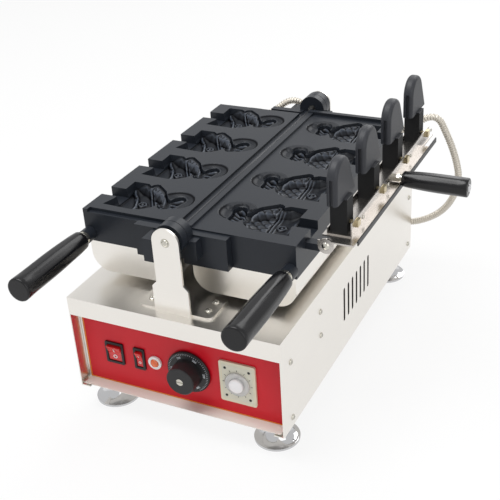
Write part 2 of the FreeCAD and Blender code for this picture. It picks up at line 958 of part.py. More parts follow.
def ribbed_hose(label, points, ribs):
    """Hose with ring-shaped ribs and a bore."""
    pieces = route(points)
    crest = SIZES["conduit_radius"]
    root = crest - SIZES["conduit_rib"]
    steps = []
    radii = []
    for rib in range(ribs):
        for share, radius in ((0.0, root), (0.3, crest), (0.6, crest), (0.9, root)):
            steps.append((rib + share) / ribs)
            radii.append(radius)
    steps.append(1.0)
    radii.append(root)
    outer = Part.makeLoft(rings(pieces, steps, radii), True, True)
    bore_steps = [n / ribs for n in range(ribs + 1)]
    inner = Part.makeLoft(rings(pieces, bore_steps, [SIZES["conduit_bore"]] * (ribs + 1)), True, True)
    shape = outer.cut(inner)
    length = sum(piece[3] if piece[0] == "line" else piece[4] * piece[5] for piece in pieces)
    plain = math.pi * (crest**2 - SIZES["conduit_bore"] ** 2) * length
    print(f"{label}: length {length:.0f} mm, volume {shape.Volume / plain:.2f} of a plain tube")
    hose = doc.addObject("Part::Feature", label)
    hose.Shape = shape
    node(label, hose)


def elbow(x, y, z, stem, way):
    """Right-angle fitting that stands on a wall facing back and turns aside."""
    radius = S.elbow_radius
    reach = S.elbow_reach
    collar = prism(6, radius + 2.5, 5, x, y, z, "y")
    neck = rod(radius, stem, x, y, z, "y")
    turn = ball(radius, x, y + stem, z)
    arm = rod(radius, reach, x, y + stem, z, way)
    return fuse(collar, neck, turn, arm)


def build_cables():
    z = S.foot_height + S.rear_elbow_height
    node("right_rear_elbow", elbow(S.right_elbow_x, rear_y, z, S.elbow_reach, "x"))
    node("left_rear_elbow", elbow(S.left_elbow_x, rear_y, z, S.elbow_reach, "z"))
    inlet = fuse(
        prism(6, S.inlet_radius + 3, 6, S.inlet_x, rear_y, z, "y"),
        rod(S.inlet_radius, S.inlet_length, S.inlet_x, rear_y, z, "y"),
        rod(S.inlet_radius - 3.3, 8, S.inlet_x, rear_y, z, "-y"),
    )
    node("power_inlet", cut(inlet, rod(S.inlet_radius - 6, 60, S.inlet_x, rear_y - 30, z, "y")))
    low = number(z)
    back = number(rear_y + S.elbow_reach)
    high = number(axis_z - S.half_elbow_drop)
    start = number(half_length + S.elbow_reach)
    right_in = number(S.right_half_elbow_x + S.elbow_reach)
    right_out = number(S.right_elbow_x + S.elbow_reach)
    ribbed_hose(
        "right_conduit",
        (
            (right_in, start, high),
            (right_in + 14, start, high),
            (right_in + 32, start + 2, high + 12),
            (right_in + 50, start + 6, high + 25),
            (right_in + 66, start + 12, high + 23),
            (right_in + 75, start + 18, high),
            (right_in + 84, start + 24, high - 25),
            (right_in + 91, start + 30, high - 52),
            (right_in + 95, start + 36, high - 82),
            (right_in + 87, start + 42, high - 118),
            (right_in + 70, start + 48, high - 147),
            (right_in + 47, start + 52, high - 167),
            (right_in + 19, back - 1, low + 3),
            (right_out + 16, back, low),
            (right_out, back, low),
        ),
        18,
    )
    left_in = number(S.elbow_reach - S.left_half_elbow_x)
    left_out = number(S.left_elbow_x)
    up = low + number(S.elbow_reach)
    ribbed_hose(
        "left_conduit",
        (
            (left_in, start, high),
            (left_in + 12, start, high),
            (left_in + 26, start + 9, high + 9),
            (left_in + 40, start + 20, high + 20),
            (left_in + 54, start + 30, high + 18),
            (left_in + 66, start + 38, high + 5),
            (left_in + 77, start + 44, high - 13),
            (left_in + 87, start + 49, high - 37),
            (left_in + 95, start + 53, high - 64),
            (left_out - 1, back, high - 95),
            (left_out, back - 1, high - 120),
            (left_out, back, up + 14),
            (left_out, back, up),
        ),
        13,
    )


# ---- mould halves ----


def fish_rows():
    for row in range(4):
        yield S.fish_pitch * (row - 1.5)


# Outline of one cavity: distance from the hinge line, and place along it. A pair is an arc by way of a point.
FISH = (
    (126, 35.5),
    (103, 35.5),
    (97, 30.5),
    ((94, 36), (87, 37.5)),
    (69, 23),
    ((62, 13.5), (55.5, 9)),
    ((52, 18), (44, 22.5)),
    ((35.5, 17), (34, 7)),
    ((37, -1.5), (37, -10)),
    ((41, -20), (50, -25.5)),
    ((57, -23.5), (60.5, -16)),
    ((71, -31), (88, -38)),
    (122, -36.5),
    (131, -36),
    (125.5, -17),
    (125.5, 16),
)
FISH_TAIL = (44, 4)


def chords(steps, count):
    """Corners of an outline, with each arc as a few flat facets for the drafted walls."""
    here = steps[0]
    corners = []
    for step in steps[1:] + steps[:1]:
        corners.append(here)
        if isinstance(step[0], tuple):
            arc = Part.Arc(vector(here), vector(step[0]), vector(step[1]))
            first = arc.FirstParameter
            last = arc.LastParameter
            for n in range(1, count):
                spot = arc.value(first + (last - first) * n / count)
                corners.append((spot.x, spot.y))
            here = step[1]
        else:
            here = step
    return corners


def inset(corners, distance):
    """The same corners moved inside by a distance square to the edges."""
    moved = []
    for before, here, after in zip(corners[-1:] + corners[:-1], corners, corners[1:] + corners[:1]):
        into = (vector(here) - vector(before)).normalize()
        out = (vector(after) - vector(here)).normalize()
        square = FreeCAD.Vector(-into.y - out.y, into.x + out.x, 0)
        spot = vector(here) + square * (distance / (1 + into.dot(out)))
        moved.append((spot.x, spot.y))
    return moved


def fish_pocket(side, y):
    """Drafted fish-shaped cutter, lofted through outlines that shrink towards its floor."""
    levels = (
        (deck_z + 1, 0),
        (deck_z - S.fish_depth * 0.6, S.fish_flank),
        (deck_z - S.fish_depth * 0.87, S.fish_shoulder),
        (deck_z - S.fish_depth, S.fish_floor),
    )
    corners = chords(FISH, 3)
    sections = []
    for level, shrink in levels:
        ring = doc.addObject("Part::Polygon", "FishLevel")
        ring.Nodes = [FreeCAD.Vector(side * u, v, 0) for u, v in inset(corners, number(shrink))]
        ring.Close = True
        sections.append(put(ring, 0, y, level))
    body = doc.addObject("Part::Loft", "FishBody")
    body.Sections = sections
    body.Solid = True
    body.Ruled = True
    return body


def fish_tools(side):
    """Everything that one half's casting has cut out of its deck for the four fish."""
    for y in fish_rows():
        yield fish_pocket(side, y)
        yield dish_tool(side * FISH_TAIL[0], y + FISH_TAIL[1])
        yield channel_tool(side, y)


def dish_tool(x, y):
    """Shallow round recess about a tail, which takes the batter that runs over."""
    dish = doc.addObject("Part::Cone", "Dish")
    bind(dish, Radius1=S.dish_radius - S.dish_slope, Radius2=S.dish_radius, Height=S.dish_depth)
    return put(dish, x, y, deck_z - S.dish_depth)


def channel_tool(side, y):
    """Way for one core's stem out of the casting's side."""
    low = stem_low if side > 0 else stem_high
    wide = S.stem_width / 2 + S.stem_play
    reach = span(side, S.mould_reach - 30, S.mould_reach + 1)
    return box(reach, (y - wide, y + wide), (deck_z - low - S.stem_play, deck_z + 10))


stem_low = S.core_pivot_drop + S.stem_inner
stem_high = S.stem_outer - S.core_pivot_drop


def trough_tool(y):
    """Deeper part of the left cavities outside the slanting mouth line."""
    sketch = doc.addObject("Sketcher::SketchObject", "Mouth")
    corners = ((123.5, 32), (101, -2), (98, -33), (128, -33), (122.5, -16), (122.5, 14))
    outline(sketch, *[(-reach, y + along) for reach, along in corners])
    put(sketch, 0, 0, deck_z)
    tool = doc.addObject("Part::Extrusion", "Trough")
    tool.Base = sketch
    tool.DirMode = "Custom"
    tool.Dir = FreeCAD.Vector(0, 0, -1)
    tool.Solid = True
    bind(tool, LengthFwd=S.trough_depth)
    return tool


def knuckle(side, end):
    """Hinge disc at one end of a casting, with the web that carries it."""
    start = right_knuckle if side > 0 else left_knuckle
    stop = start + S.knuckle_width
    rim = S.knuckle_radius + 1.5
    y = (start, stop) if end > 0 else (-stop, -start)
    round_part = rod(S.knuckle_radius, S.knuckle_width, 0, y[0], axis_z, "y")
    reach = (lug_face - 1, stop) if end > 0 else (-stop, 1 - lug_face)
    if side > 0:
        web = box((0, rim + 8), reach, (axis_z - rim - 8, axis_z - 4))
        return [round_part, web]
    web = box((-rim - 16, -rim), reach, (axis_z - rim - 14, axis_z - 4))
    bridge = box((-rim - 16, 0), y, (axis_z - S.knuckle_radius, axis_z - 4))
    return [round_part, web, bridge]


def ears():
    """Arms on the right casting that carry the core bar's pivot screws."""
    for near, far in ((-ear_outer, -ear_inner), (ear_inner, ear_outer)):
        y = (near, far)
        low = pivot_z - S.ear_radius * 2
        arm = box((S.mould_reach - 1, pivot_x), y, (low, pivot_z - 0.5))
        foot = rod(S.ear_radius, S.ear_width, pivot_x, near, pivot_z, "y")
        drop = rod(S.ear_radius, S.ear_width, pivot_x, near, pivot_z - S.ear_radius, "y")
        yield from (arm, foot, drop)


def build_mould(side, name):
    setback = S.right_setback if side > 0 else S.left_setback
    across = span(side, setback, S.mould_reach)
    along = (-half_length, half_length)
    block = box(across, along, (mould_bottom, deck_z))
    adds = [block]
    cuts = list(fish_tools(side))
    inside = span(side, setback + S.mould_wall, S.mould_reach - S.mould_wall)
    reach = (S.mould_wall - half_length, half_length - S.mould_wall)
    cuts.append(box(inside, reach, (mould_bottom - 1, mould_bottom + S.heater_recess)))
    lug_top = axis_z - S.lug_drop
    for end in (-1, 1):
        y = (half_length - 1, lug_face) if end > 0 else (-lug_face, 1 - half_length)
        adds.append(box(span(side, setback, S.lug_reach), y, (mould_bottom, lug_top)))
        adds.extend(knuckle(side, end))
        start = (right_knuckle if end > 0 else -left_knuckle - S.knuckle_width) - 1
        length = left_knuckle + S.knuckle_width - right_knuckle + 2
        cuts.append(rod(S.pin_radius + S.pin_play, length, 0, start, axis_z, "y"))
    adds.append(rod(S.boss_radius, S.boss_length + 1, side * handle_x, 1 - half_length, handle_z, "-y"))
    if side > 0:
        rim = S.right_setback + S.rim_width
        adds.append(box((S.right_setback, rim), along, (deck_z - 1, deck_z + S.rim_height)))
        back = (half_length - S.rim_width, half_length)
        adds.append(box(across, back, (deck_z - 1, deck_z + S.rear_rim_height)))
        adds.extend(ears())
        length = S.mould_length
        cuts.append(rod(S.core_screw_radius + S.core_screw_play, length, pivot_x, -half_length, pivot_z, "y"))
    else:
        cuts.extend(trough_tool(y) for y in fish_rows())
        front = (-half_length - 1, S.rebate_width - half_length)
        stop = S.rebate_width - S.mould_reach
        cuts.append(box((stop, 1 - setback), front, (deck_z - S.rebate_depth, deck_z + 5)))
        rear = (half_length - S.rim_width - S.rim_play, half_length + 1)
        depth = S.rear_rim_height + S.rim_play
        cuts.append(box((-S.mould_reach - 1, 1 - setback), rear, (deck_z - depth, deck_z + 5)))
    node(f"{name}_mould", cut(fuse(*adds), *cuts))


def build_cover(side, name):
    setback = S.right_setback if side > 0 else S.left_setback
    inset = S.cover_inset
    skin = S.cover_gauge
    across = span(side, setback + inset, S.mould_reach - inset)
    along = (inset - half_length, half_length - inset)
    low = mould_bottom - S.cover_depth

    def at_bottom(b):
        return b.YLength > 100 and b.XLength < 0.1 and b.ZMin < number(low + skin) + 0.1

    outer = box(across, along, (low, mould_bottom))
    inner = box(
        (across[0] + skin, across[1] - skin),
        (along[0] + skin, along[1] - skin),
        (low + skin, mould_bottom + 1),
    )
    shell = round_edges(outer, S.cover_radius, at_bottom)
    hollow = round_edges(inner, S.cover_radius - skin, at_bottom)
    node(f"{name}_cover", cut(shell, hollow))


def build_heater(side, name):
    """Straight tubular heaters under the cavities, held by a clip bar."""
    middle = side * (S.mould_reach + S.left_setback) / 2
    z = mould_bottom + S.heater_recess - S.heater_radius - S.heater_play
    legs = half_length - S.mould_wall - S.heater_spacing
    tubes = []
    for leg in (-1, 1):
        x = middle + leg * S.heater_spacing
        tubes.append(rod(S.heater_radius, legs * 2, x, -legs, z, "y"))
    half = S.heater_spacing + 20
    bar = box((middle - half, middle + half), (-14, 14), (z - S.heater_radius, z + S.heater_radius))
    node(f"{name}_heater", fuse(bar, *tubes))


def build_handle(side, name):
    x = side * handle_x
    ferrule = rod(S.ferrule_radius, S.ferrule_length, x, -boss_face, handle_z, "-y")
    stud = rod(S.stud_radius, S.stud_depth, x, -grip_face, handle_z, "-y")
    node(f"{name}_handle_stud", fuse(ferrule, stud))
    body = new_body(f"{name}_grip")
    section = sketch_on(body, "XY_Plane", handle_z, x)
    bore = S.stud_radius + S.stud_play
    radius = S.grip_radius
    start = -grip_face
    stop = -grip_end
    outline(
        section,
        (bore, start),
        (radius - 4, start),
        ((radius - 1.17, start - 3.4), (radius, start - 9)),
        (radius, stop + 14),
        ((radius - 2.14, stop + 5.94), (radius - 8, stop)),
        (0, stop),
        (0, start - S.stud_depth - 1),
        (bore, start - S.stud_depth - 1),
    )
    revolve(body, section)
    node(f"{name}_grip", body)


def build_half(side, name):
    build_mould(side, name)
    build_cover(side, name)
    build_heater(side, name)
    build_handle(side, name)
    x = S.right_half_elbow_x if side > 0 else -S.left_half_elbow_x
    node(f"{name}_half_elbow", elbow(x, half_length, axis_z - S.half_elbow_drop, S.elbow_reach, "x"))


# ---- core bar ----


def build_bar():
    outer = pivot_x + S.plate_outer
    inner = pivot_x - S.plate_inner
    clear = pivot_x + S.bar_play * 2
    along = (-plate_half, plate_half)
    z = (plate_z, plate_top)
    plate = box((inner, outer), along, z)
    notch_span = S.bar_play * 2
    notches = []
    for near, far in ((-ear_outer, -ear_inner), (ear_inner, ear_outer)):
        y = (near - S.bar_play, far + notch_span)
        if number(near) > 0:
            y = (near - notch_span, far + S.bar_play)
        notches.append(box((inner - 1, clear), y, (plate_z - 1, plate_top + 1)))
    corner = box((flange_x + 1, outer + 1), (plate_half - S.plate_short, plate_half + 1), (plate_z - 1, plate_top + 1))
    adds = [cut(plate, corner, *notches)]
    for start in (-plate_half, plate_half - S.plate_gauge):
        y = (start, start + S.plate_gauge)
        adds.append(box((inner, pivot_x + S.plate_inner), y, (pivot_z, plate_top)))
        adds.append(rod(S.plate_inner, S.plate_gauge, pivot_x, start, pivot_z, "y"))
    bore = rod(S.core_screw_radius + S.core_screw_play, plate_half * 2 + 2, pivot_x, -plate_half - 1, pivot_z, "y")
    node("rail_plate", cut(fuse(*adds), bore))
    build_channel()
    for row, y in enumerate(fish_rows(), start=1):
        build_core(f"mouth_core_{row}", y)
    build_bar_fasteners()
    build_bar_handle()


def build_channel():
    body = new_body("core_channel_blank")
    skin = S.channel_gauge
    reach = ear_inner - S.channel_inset
    section = sketch_on(body, "XZ_Plane", -reach)
    outline(
        section,
        (channel_x, plate_top),
        (flange_x, plate_top),
        (flange_x, plate_top + S.flange_height),
        (flange_x - skin, plate_top + S.flange_height),
        (flange_x - skin, channel_floor),
        (channel_x + skin, channel_floor),
        (channel_x + skin, plate_top + S.channel_lip),
        (channel_x, plate_top + S.channel_lip),
    )
    pad(body, section, reach * 2)
    holes = sketch_on(body, "YZ_Plane", flange_x + 1)
    for y in fish_rows():
        disc(holes, y, bolt_z, S.bolt_radius + S.stud_play)
    disc(holes, S.bar_handle_y, bar_handle_z, S.stud_radius + S.stud_play)
    pocket(body, holes, skin + 2)
    node("core_channel", body)


stem_x = (pivot_x - S.stem_inner, pivot_x + S.stem_outer)
hood_x = pivot_x + S.core_pivot_drop
bolt_z = plate_top + S.flange_height - S.bolt_drop


def build_core(label, y):
    """Stem and bullet-shaped hood that leaves the fish's mouth open."""
    body = new_body(label)
    low = pivot_z + S.stem_top
    tip = low + S.hood_height
    half = S.hood_width / 2
    radius = S.hood_tip_radius
    hood = sketch_on(body, "YZ_Plane", hood_x - S.hood_thickness / 2)
    near = radius - half
    middle = tip - radius
    rise = SIZES["hood_height"] - SIZES["hood_tip_radius"]
    run = SIZES["hood_width"] - SIZES["hood_tip_radius"]
    lean = math.asin(SIZES["hood_tip_radius"] / math.hypot(run, rise)) - math.atan2(run, rise)
    outline(
        hood,
        (y - half, low),
        (y + half, low),
        (y + near + radius * math.cos(lean), middle - radius * math.sin(lean)),
        ((y + near, tip), (y - half, middle)),
    )
    block = pad(body, hood, S.hood_thickness)
    floor = number(low)

    def on_face(b):
        return b.XLength < 0.1 and b.ZMax > floor + 1

    round_body(body, block, S.hood_edge_radius, on_face)
    wide = S.hood_groove_width / 2
    for end in (-1, 1):
        groove = sketch_on(body, "XY_Plane", low + S.hood_height * 0.62)
        outer = y + end * (half + 1)
        inner = y + end * (half - S.hood_groove_depth)
        outline(
            groove,
            (hood_x - wide, inner),
            (hood_x + wide, inner),
            (hood_x + wide, outer),
            (hood_x - wide, outer),
        )
        pocket(body, groove, S.hood_height)
    stem = sketch_on(body, "XY_Plane", channel_floor)
    deep = S.stem_width / 2
    outline(
        stem,
        (stem_x[0], y - deep),
        (stem_x[1], y - deep),
        (stem_x[1], y + deep),
        (stem_x[0], y + deep),
    )
    pad(body, stem, low - channel_floor + 1)
    bore = sketch_on(body, "YZ_Plane", stem_x[1] + 1)
    disc(bore, y, bolt_z, S.bolt_radius + S.stud_play)
    pocket(body, bore, stem_x[1] - flange_x + S.bolt_depth + 2)
    node(label, body)


def build_bar_fasteners():
    bolts = []
    side = S.bolt_head_size / 2
    for y in fish_rows():
        head = box((flange_x, flange_x + S.bolt_head_height), (y - side, y + side), (bolt_z - side, bolt_z + side))
        shank = rod(S.bolt_radius, S.bolt_depth, flange_x, y, bolt_z, "-x")
        bolts.append(fuse(head, shank))
    node("core_bolts", gather(*bolts))
    screws = []
    depth = plate_half - ear_inner
    for start, axis in ((-plate_half, "-y"), (plate_half, "y")):
        size = (S.core_screw_radius * 2, S.core_screw_radius, S.core_screw_radius, depth)
        screws.append(dome_screw(*size, pivot_x, start, pivot_z, axis))
    node("pivot_screws", gather(*screws))


def build_bar_handle():
    y = S.bar_handle_y
    z = bar_handle_z
    nut = prism(6, S.bar_nut_radius, S.bar_nut_length, flange_x, y, z, "x")
    collar = rod(S.stud_radius * 1.35, S.bar_ferrule_length, flange_x + S.bar_nut_length, y, z, "x")
    stud = rod(S.stud_radius, S.stud_depth + S.channel_gauge * 4, flange_x - S.channel_gauge * 4, y, z, "x")
    node("bar_handle_stud", fuse(nut, collar, stud))
    body = new_body("bar_grip")
    section = sketch_on(body, "XY_Plane", z, 0, y)
    bore = S.stud_radius + S.stud_play
    radius = S.bar_grip_radius
    deep = flange_x + S.stud_depth + 1
    start = bar_grip_x
    stop = bar_grip_end
    outline(
        section,
        (start, bore),
        (start, radius - 4.5),
        ((start + 2, radius - 2.5), (start + 8, radius - 2)),
        (stop - 14, radius),
        ((stop - 6.17, radius - 1.85), (stop, radius - 7)),
        (stop, 0),
        (deep, 0),
        (deep, bore),
    )
    revolve(body, section, "H_Axis")
    node("bar_grip", body)


def check_all():
    """Stop unless every object is sound and every piece is a valid solid."""
    doc.recompute()
    for thing in doc.Objects:
        if "Invalid" in thing.State or "Error" in thing.State:
            raise RuntimeError(f"{thing.Name} ({thing.Label}) is not sound: {thing.State}")
    for thing in nodes:
        shape = thing.Shape
        if shape.isNull() or not shape.isValid() or not shape.Solids:
            raise RuntimeError(f"{thing.Label} is not a valid solid")


build_housing()
build_panels()
build_feet()
build_brackets()
build_controls()
build_inside()
build_cables()
build_half(-1, "left")
build_half(1, "right")
build_bar()
check_all()

os.makedirs("parts", exist_ok=True)
for thing in nodes:
    thing.Shape.exportStep(f"parts/{thing.Label}.step")
print(len(nodes), "nodes")
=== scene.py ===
"""Studio scene of a countertop fish waffle cone maker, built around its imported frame."""
from __future__ import annotations

import json
import logging
import math
from dataclasses import dataclass
from enum import Enum
from typing import Any, Iterable, Sequence

import bmesh
import bpy
import numpy as np
from mathutils import Matrix, Vector

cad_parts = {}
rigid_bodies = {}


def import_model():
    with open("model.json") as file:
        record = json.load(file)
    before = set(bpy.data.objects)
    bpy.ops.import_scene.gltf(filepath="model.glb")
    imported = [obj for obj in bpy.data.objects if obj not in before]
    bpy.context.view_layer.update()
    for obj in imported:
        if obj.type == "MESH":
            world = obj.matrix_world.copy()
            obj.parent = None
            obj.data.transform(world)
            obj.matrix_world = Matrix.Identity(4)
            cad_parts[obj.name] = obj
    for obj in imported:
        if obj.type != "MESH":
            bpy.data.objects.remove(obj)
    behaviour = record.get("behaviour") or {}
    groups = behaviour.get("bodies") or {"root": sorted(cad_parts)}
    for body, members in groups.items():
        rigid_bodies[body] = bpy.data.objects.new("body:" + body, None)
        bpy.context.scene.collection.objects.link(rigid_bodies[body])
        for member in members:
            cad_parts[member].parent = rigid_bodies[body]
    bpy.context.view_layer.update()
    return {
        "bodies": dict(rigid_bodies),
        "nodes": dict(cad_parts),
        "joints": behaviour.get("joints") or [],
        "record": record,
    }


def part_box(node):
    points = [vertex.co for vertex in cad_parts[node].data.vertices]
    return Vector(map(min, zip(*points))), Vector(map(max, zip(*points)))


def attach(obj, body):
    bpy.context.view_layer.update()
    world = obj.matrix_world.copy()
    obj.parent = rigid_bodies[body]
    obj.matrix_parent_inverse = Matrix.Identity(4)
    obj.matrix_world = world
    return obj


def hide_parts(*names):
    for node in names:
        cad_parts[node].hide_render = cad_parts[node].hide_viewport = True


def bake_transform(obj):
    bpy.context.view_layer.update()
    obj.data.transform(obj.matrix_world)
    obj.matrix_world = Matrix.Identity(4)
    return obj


LOG = logging.getLogger("cone_maker")
MM = 0.001
QUARTER = math.pi / 2
Spot = tuple[float, float]
Point = tuple[float, float, float]
Colour = tuple[float, float, float]
Inputs = dict[Any, Any]
STRAIGHT: Point = (0.0, 0.0, 0.0)


class Grain(Enum):
    """Ways in which a finish is uneven, as features per metre along each axis."""

    BRUSHED_X = (3.0, 420.0, 420.0)
    BRUSHED_Y = (420.0, 3.0, 420.0)
    PEBBLE = (900.0, 900.0, 900.0)
    SATIN = (260.0, 260.0, 260.0)
    POLISHED = (40.0, 40.0, 40.0)


@dataclass(frozen=True)
class Finish:
    """One surface finish.

    Attributes:
        name: Name of the material.
        colour: Base colour, linear.
        roughness: Middle roughness.
        metallic: One for bare metal.
        grain: Pattern of the unevenness.
        bump: Height of the unevenness, from 0 to 1.
        tone: Share by which the colour varies.
        spread: Amount by which the roughness varies.
        coat: Clear coat on top.
        cloud: Patches per metre of the slow variation.
        shine: Strength of the reflection of a surface that is no metal.
        clear: Share of light that goes through.
    """

    name: str
    colour: Colour
    roughness: float
    metallic: float = 0.0
    grain: Grain = Grain.SATIN
    bump: float = 0.1
    tone: float = 0.1
    spread: float = 0.1
    coat: float = 0.0
    cloud: float = 14.0
    shine: float = 0.5
    clear: float = 0.0


SHEET: Colour = (0.84, 0.812, 0.765)
STEEL_X = Finish("brushed_steel_across", SHEET, 0.3, 1.0, Grain.BRUSHED_X, 0.03, 0.04, 0.08)
STEEL_Y = Finish("brushed_steel_along", SHEET, 0.3, 1.0, Grain.BRUSHED_Y, 0.03, 0.04, 0.08)
RAIL = Finish("rail_steel", (0.56, 0.53, 0.50), 0.26, 1.0, Grain.BRUSHED_Y, 0.03, 0.08, 0.1)
HARDWARE = Finish("bright_hardware", (0.58, 0.56, 0.50), 0.22, 1.0, Grain.SATIN, 0.03, 0.08, 0.1)
BRASS = Finish("brass_bolts", (0.60, 0.51, 0.32), 0.28, 1.0, Grain.SATIN, 0.03, 0.1, 0.1)
CHROME = Finish("polished_chrome", (0.58, 0.58, 0.59), 0.06, 1.0, Grain.POLISHED, 0.01, 0.04, 0.05)
HOSE = Finish("hose_metal", (0.60, 0.56, 0.49), 0.4, 0.55, Grain.SATIN, 0.05, 0.12, 0.12)
COATING = Finish(
    "nonstick_coating", (0.016, 0.0192, 0.0255), 0.34, 0.0, Grain.PEBBLE, 0.1, 0.14, 0.12, shine=0.27
)
CORE_COATING = Finish(
    "core_coating", (0.024, 0.026, 0.032), 0.48, 0.0, Grain.PEBBLE, 0.16, 0.14, 0.12, shine=0.4
)
GRIP = Finish("grip_plastic", (0.004, 0.004, 0.005), 0.24, 0.0, Grain.SATIN, 0.05, 0.2, 0.1, shine=0.36)
BLACK = Finish("black_plastic", (0.010, 0.010, 0.011), 0.4, 0.0, Grain.SATIN, 0.06, 0.15, 0.1, shine=0.4)
RED = Finish("red_plastic", (0.66, 0.010, 0.014), 0.22, 0.0, Grain.POLISHED, 0.03, 0.12, 0.06, 0.2)
IVORY = Finish("ivory_plastic", (0.70, 0.65, 0.50), 0.36, 0.0, Grain.SATIN, 0.03, 0.06, 0.08)
DIAL_FACE = Finish("timer_face", (0.66, 0.64, 0.53), 0.4, 0.0, Grain.SATIN, 0.03, 0.08, 0.08)
WHITE = Finish("white_print", (0.85, 0.85, 0.85), 0.45, 0.0, Grain.SATIN, 0.02, 0.03, 0.05)
GREY_PRINT = Finish("grey_print", (0.62, 0.66, 0.70), 0.45, 0.0, Grain.SATIN, 0.02, 0.03, 0.05)
CLEAR = Finish(
    "clear_disc", (0.92, 0.91, 0.92), 0.06, 0.0, Grain.POLISHED, 0.0, 0.03, 0.03, 0.3, clear=0.55
)
PALE = Finish("pale_knob", (0.84, 0.83, 0.84), 0.12, 0.0, Grain.POLISHED, 0.01, 0.06, 0.06, 0.6)
SILL = Finish("satin_sill", (0.80, 0.79, 0.73), 0.5, 0.0, Grain.BRUSHED_X, 0.04, 0.05, 0.1)


class Value:
    """A number in a node tree, whose operators add Math nodes."""

    def __init__(self, graph: "Graph", socket: bpy.types.NodeSocket) -> None:
        """Wrap a socket of a graph."""
        self.graph = graph
        self.socket = socket

    def _math(self, operation: str, first: Any, second: Any) -> "Value":
        """Add one Math node for two operands."""
        made = self.graph.out("ShaderNodeMath", {0: first, 1: second}, operation=operation)
        return Value(self.graph, made)

    def __add__(self, other: Any) -> "Value":
        """Sum."""
        return self._math("ADD", self, other)

    def __radd__(self, other: Any) -> "Value":
        """Sum with a number in front."""
        return self._math("ADD", other, self)

    def __sub__(self, other: Any) -> "Value":
        """Difference."""
        return self._math("SUBTRACT", self, other)

    def __rsub__(self, other: Any) -> "Value":
        """Difference from a number."""
        return self._math("SUBTRACT", other, self)

    def __mul__(self, other: Any) -> "Value":
        """Product."""
        return self._math("MULTIPLY", self, other)

    def __rmul__(self, other: Any) -> "Value":
        """Product with a number in front."""
        return self._math("MULTIPLY", other, self)

    def __lt__(self, other: Any) -> "Value":
        """One where this is below the other."""
        return self._math("LESS_THAN", self, other)

    def __gt__(self, other: Any) -> "Value":
        """One where this is above the other."""
        return self._math("GREATER_THAN", self, other)

    def most(self, other: Any) -> "Value":
        """The larger of two values."""
        return self._math("MAXIMUM", self, other)

    def apart(self, middle: float) -> "Value":
        """Distance from a middle value."""
        return self._math("ABSOLUTE", self - middle, 0.0)

    def cosine(self) -> "Value":
        """Cosine of an angle in radians."""
        return self._math("COSINE", self, 0.0)


class Graph:
    """A node tree, with short ways to add nodes."""

    SIGHT = ("Is Camera Ray", "Is Glossy Ray", "Is Transmission Ray")

    def __init__(self, tree: bpy.types.NodeTree) -> None:
        """Empty a tree and start on it."""
        self.tree = tree
        self.tree.nodes.clear()

    def node(self, kind: str, inputs: Inputs | None = None, **settings: Any) -> bpy.types.Node:
        """Add a node.

        Args:
            kind: Type of the node.
            inputs: Values, sockets or Value objects of its inputs.
            **settings: Properties that are set first.

        Returns:
            The new node.
        """
        made = self.tree.nodes.new(kind)
        for name, setting in settings.items():
            setattr(made, name, setting)
        for key, item in (inputs or {}).items():
            source = item.socket if isinstance(item, Value) else item
            if isinstance(source, bpy.types.NodeSocket):
                self.tree.links.new(source, made.inputs[key])
            else:
                made.inputs[key].default_value = source
        return made

    def out(self, kind: str, inputs: Inputs | None = None, **settings: Any) -> bpy.types.NodeSocket:
        """Add a node and give its first output."""
        return self.node(kind, inputs, **settings).outputs[0]

    def seen(self) -> Value:
        """One for rays that look straight, by a mirror or through glass."""
        path = self.node("ShaderNodeLightPath")
        straight, mirror, through = (path.outputs[name] for name in self.SIGHT)
        return Value(self, straight).most(mirror).most(through)


class Surface(Graph):
    """Node tree of one material."""

    BUMP_DEPTH = 0.6 * MM

    def __init__(self, name: str) -> None:
        """Make a material with an empty tree."""
        self.material = bpy.data.materials.new(name)
        self.material.use_nodes = True
        super().__init__(self.material.node_tree)

    def place(self, scale: Point = (1.0, 1.0, 1.0)) -> bpy.types.NodeSocket:
        """Object coordinates, stretched by a scale."""
        spot = self.node("ShaderNodeTexCoord").outputs["Object"]
        return self.out("ShaderNodeMapping", {"Vector": spot, "Scale": scale})

    def noise(self, scale: Point, detail: float = 2.0) -> Value:
        """Noise of a given number of features per metre along each axis."""
        inputs = {"Vector": self.place(scale), "Scale": 1.0, "Detail": detail}
        return Value(self, self.out("ShaderNodeTexNoise", inputs))

    def patches(self, count: float) -> Value:
        """Slow noise of a number of patches per metre."""
        return self.noise((count,) * 3, 3.0)

    def axis(self, name: str) -> Value:
        """One object coordinate, in metres."""
        split = self.node("ShaderNodeSeparateXYZ", {0: self.place()})
        return Value(self, split.outputs[name])

    def blend(self, factor: Any, first: Any, second: Any) -> bpy.types.NodeSocket:
        """Mix of two colours."""
        inputs = {0: factor, 6: first, 7: second}
        return self.node("ShaderNodeMix", inputs, data_type="RGBA").outputs[2]

    def varied(self, factor: Value, finish: Finish) -> bpy.types.NodeSocket:
        """Colour of a finish, darker and lighter by its tone."""
        dark = full(finish.colour, 1 - finish.tone)
        return self.blend(factor, dark, full(finish.colour, 1 + finish.tone))

    def bump(self, height: Value, strength: float) -> bpy.types.NodeSocket:
        """Normal of a small unevenness."""
        inputs = {"Height": height, "Strength": strength, "Distance": self.BUMP_DEPTH}
        return self.out("ShaderNodeBump", inputs)

    def principled(self, inputs: dict[str, Any]) -> bpy.types.NodeSocket:
        """Shader of a plain or varied surface."""
        return self.out("ShaderNodeBsdfPrincipled", inputs)

    def close(self, shader: bpy.types.NodeSocket) -> bpy.types.Material:
        """Link the surface and return the material."""
        self.node("ShaderNodeOutputMaterial", {"Surface": shader})
        return self.material


def full(colour: Colour, gain: float = 1.0) -> tuple[float, float, float, float]:
    """A colour with its alpha, made lighter or darker."""
    return (*[min(1.0, part * gain) for part in colour], 1.0)


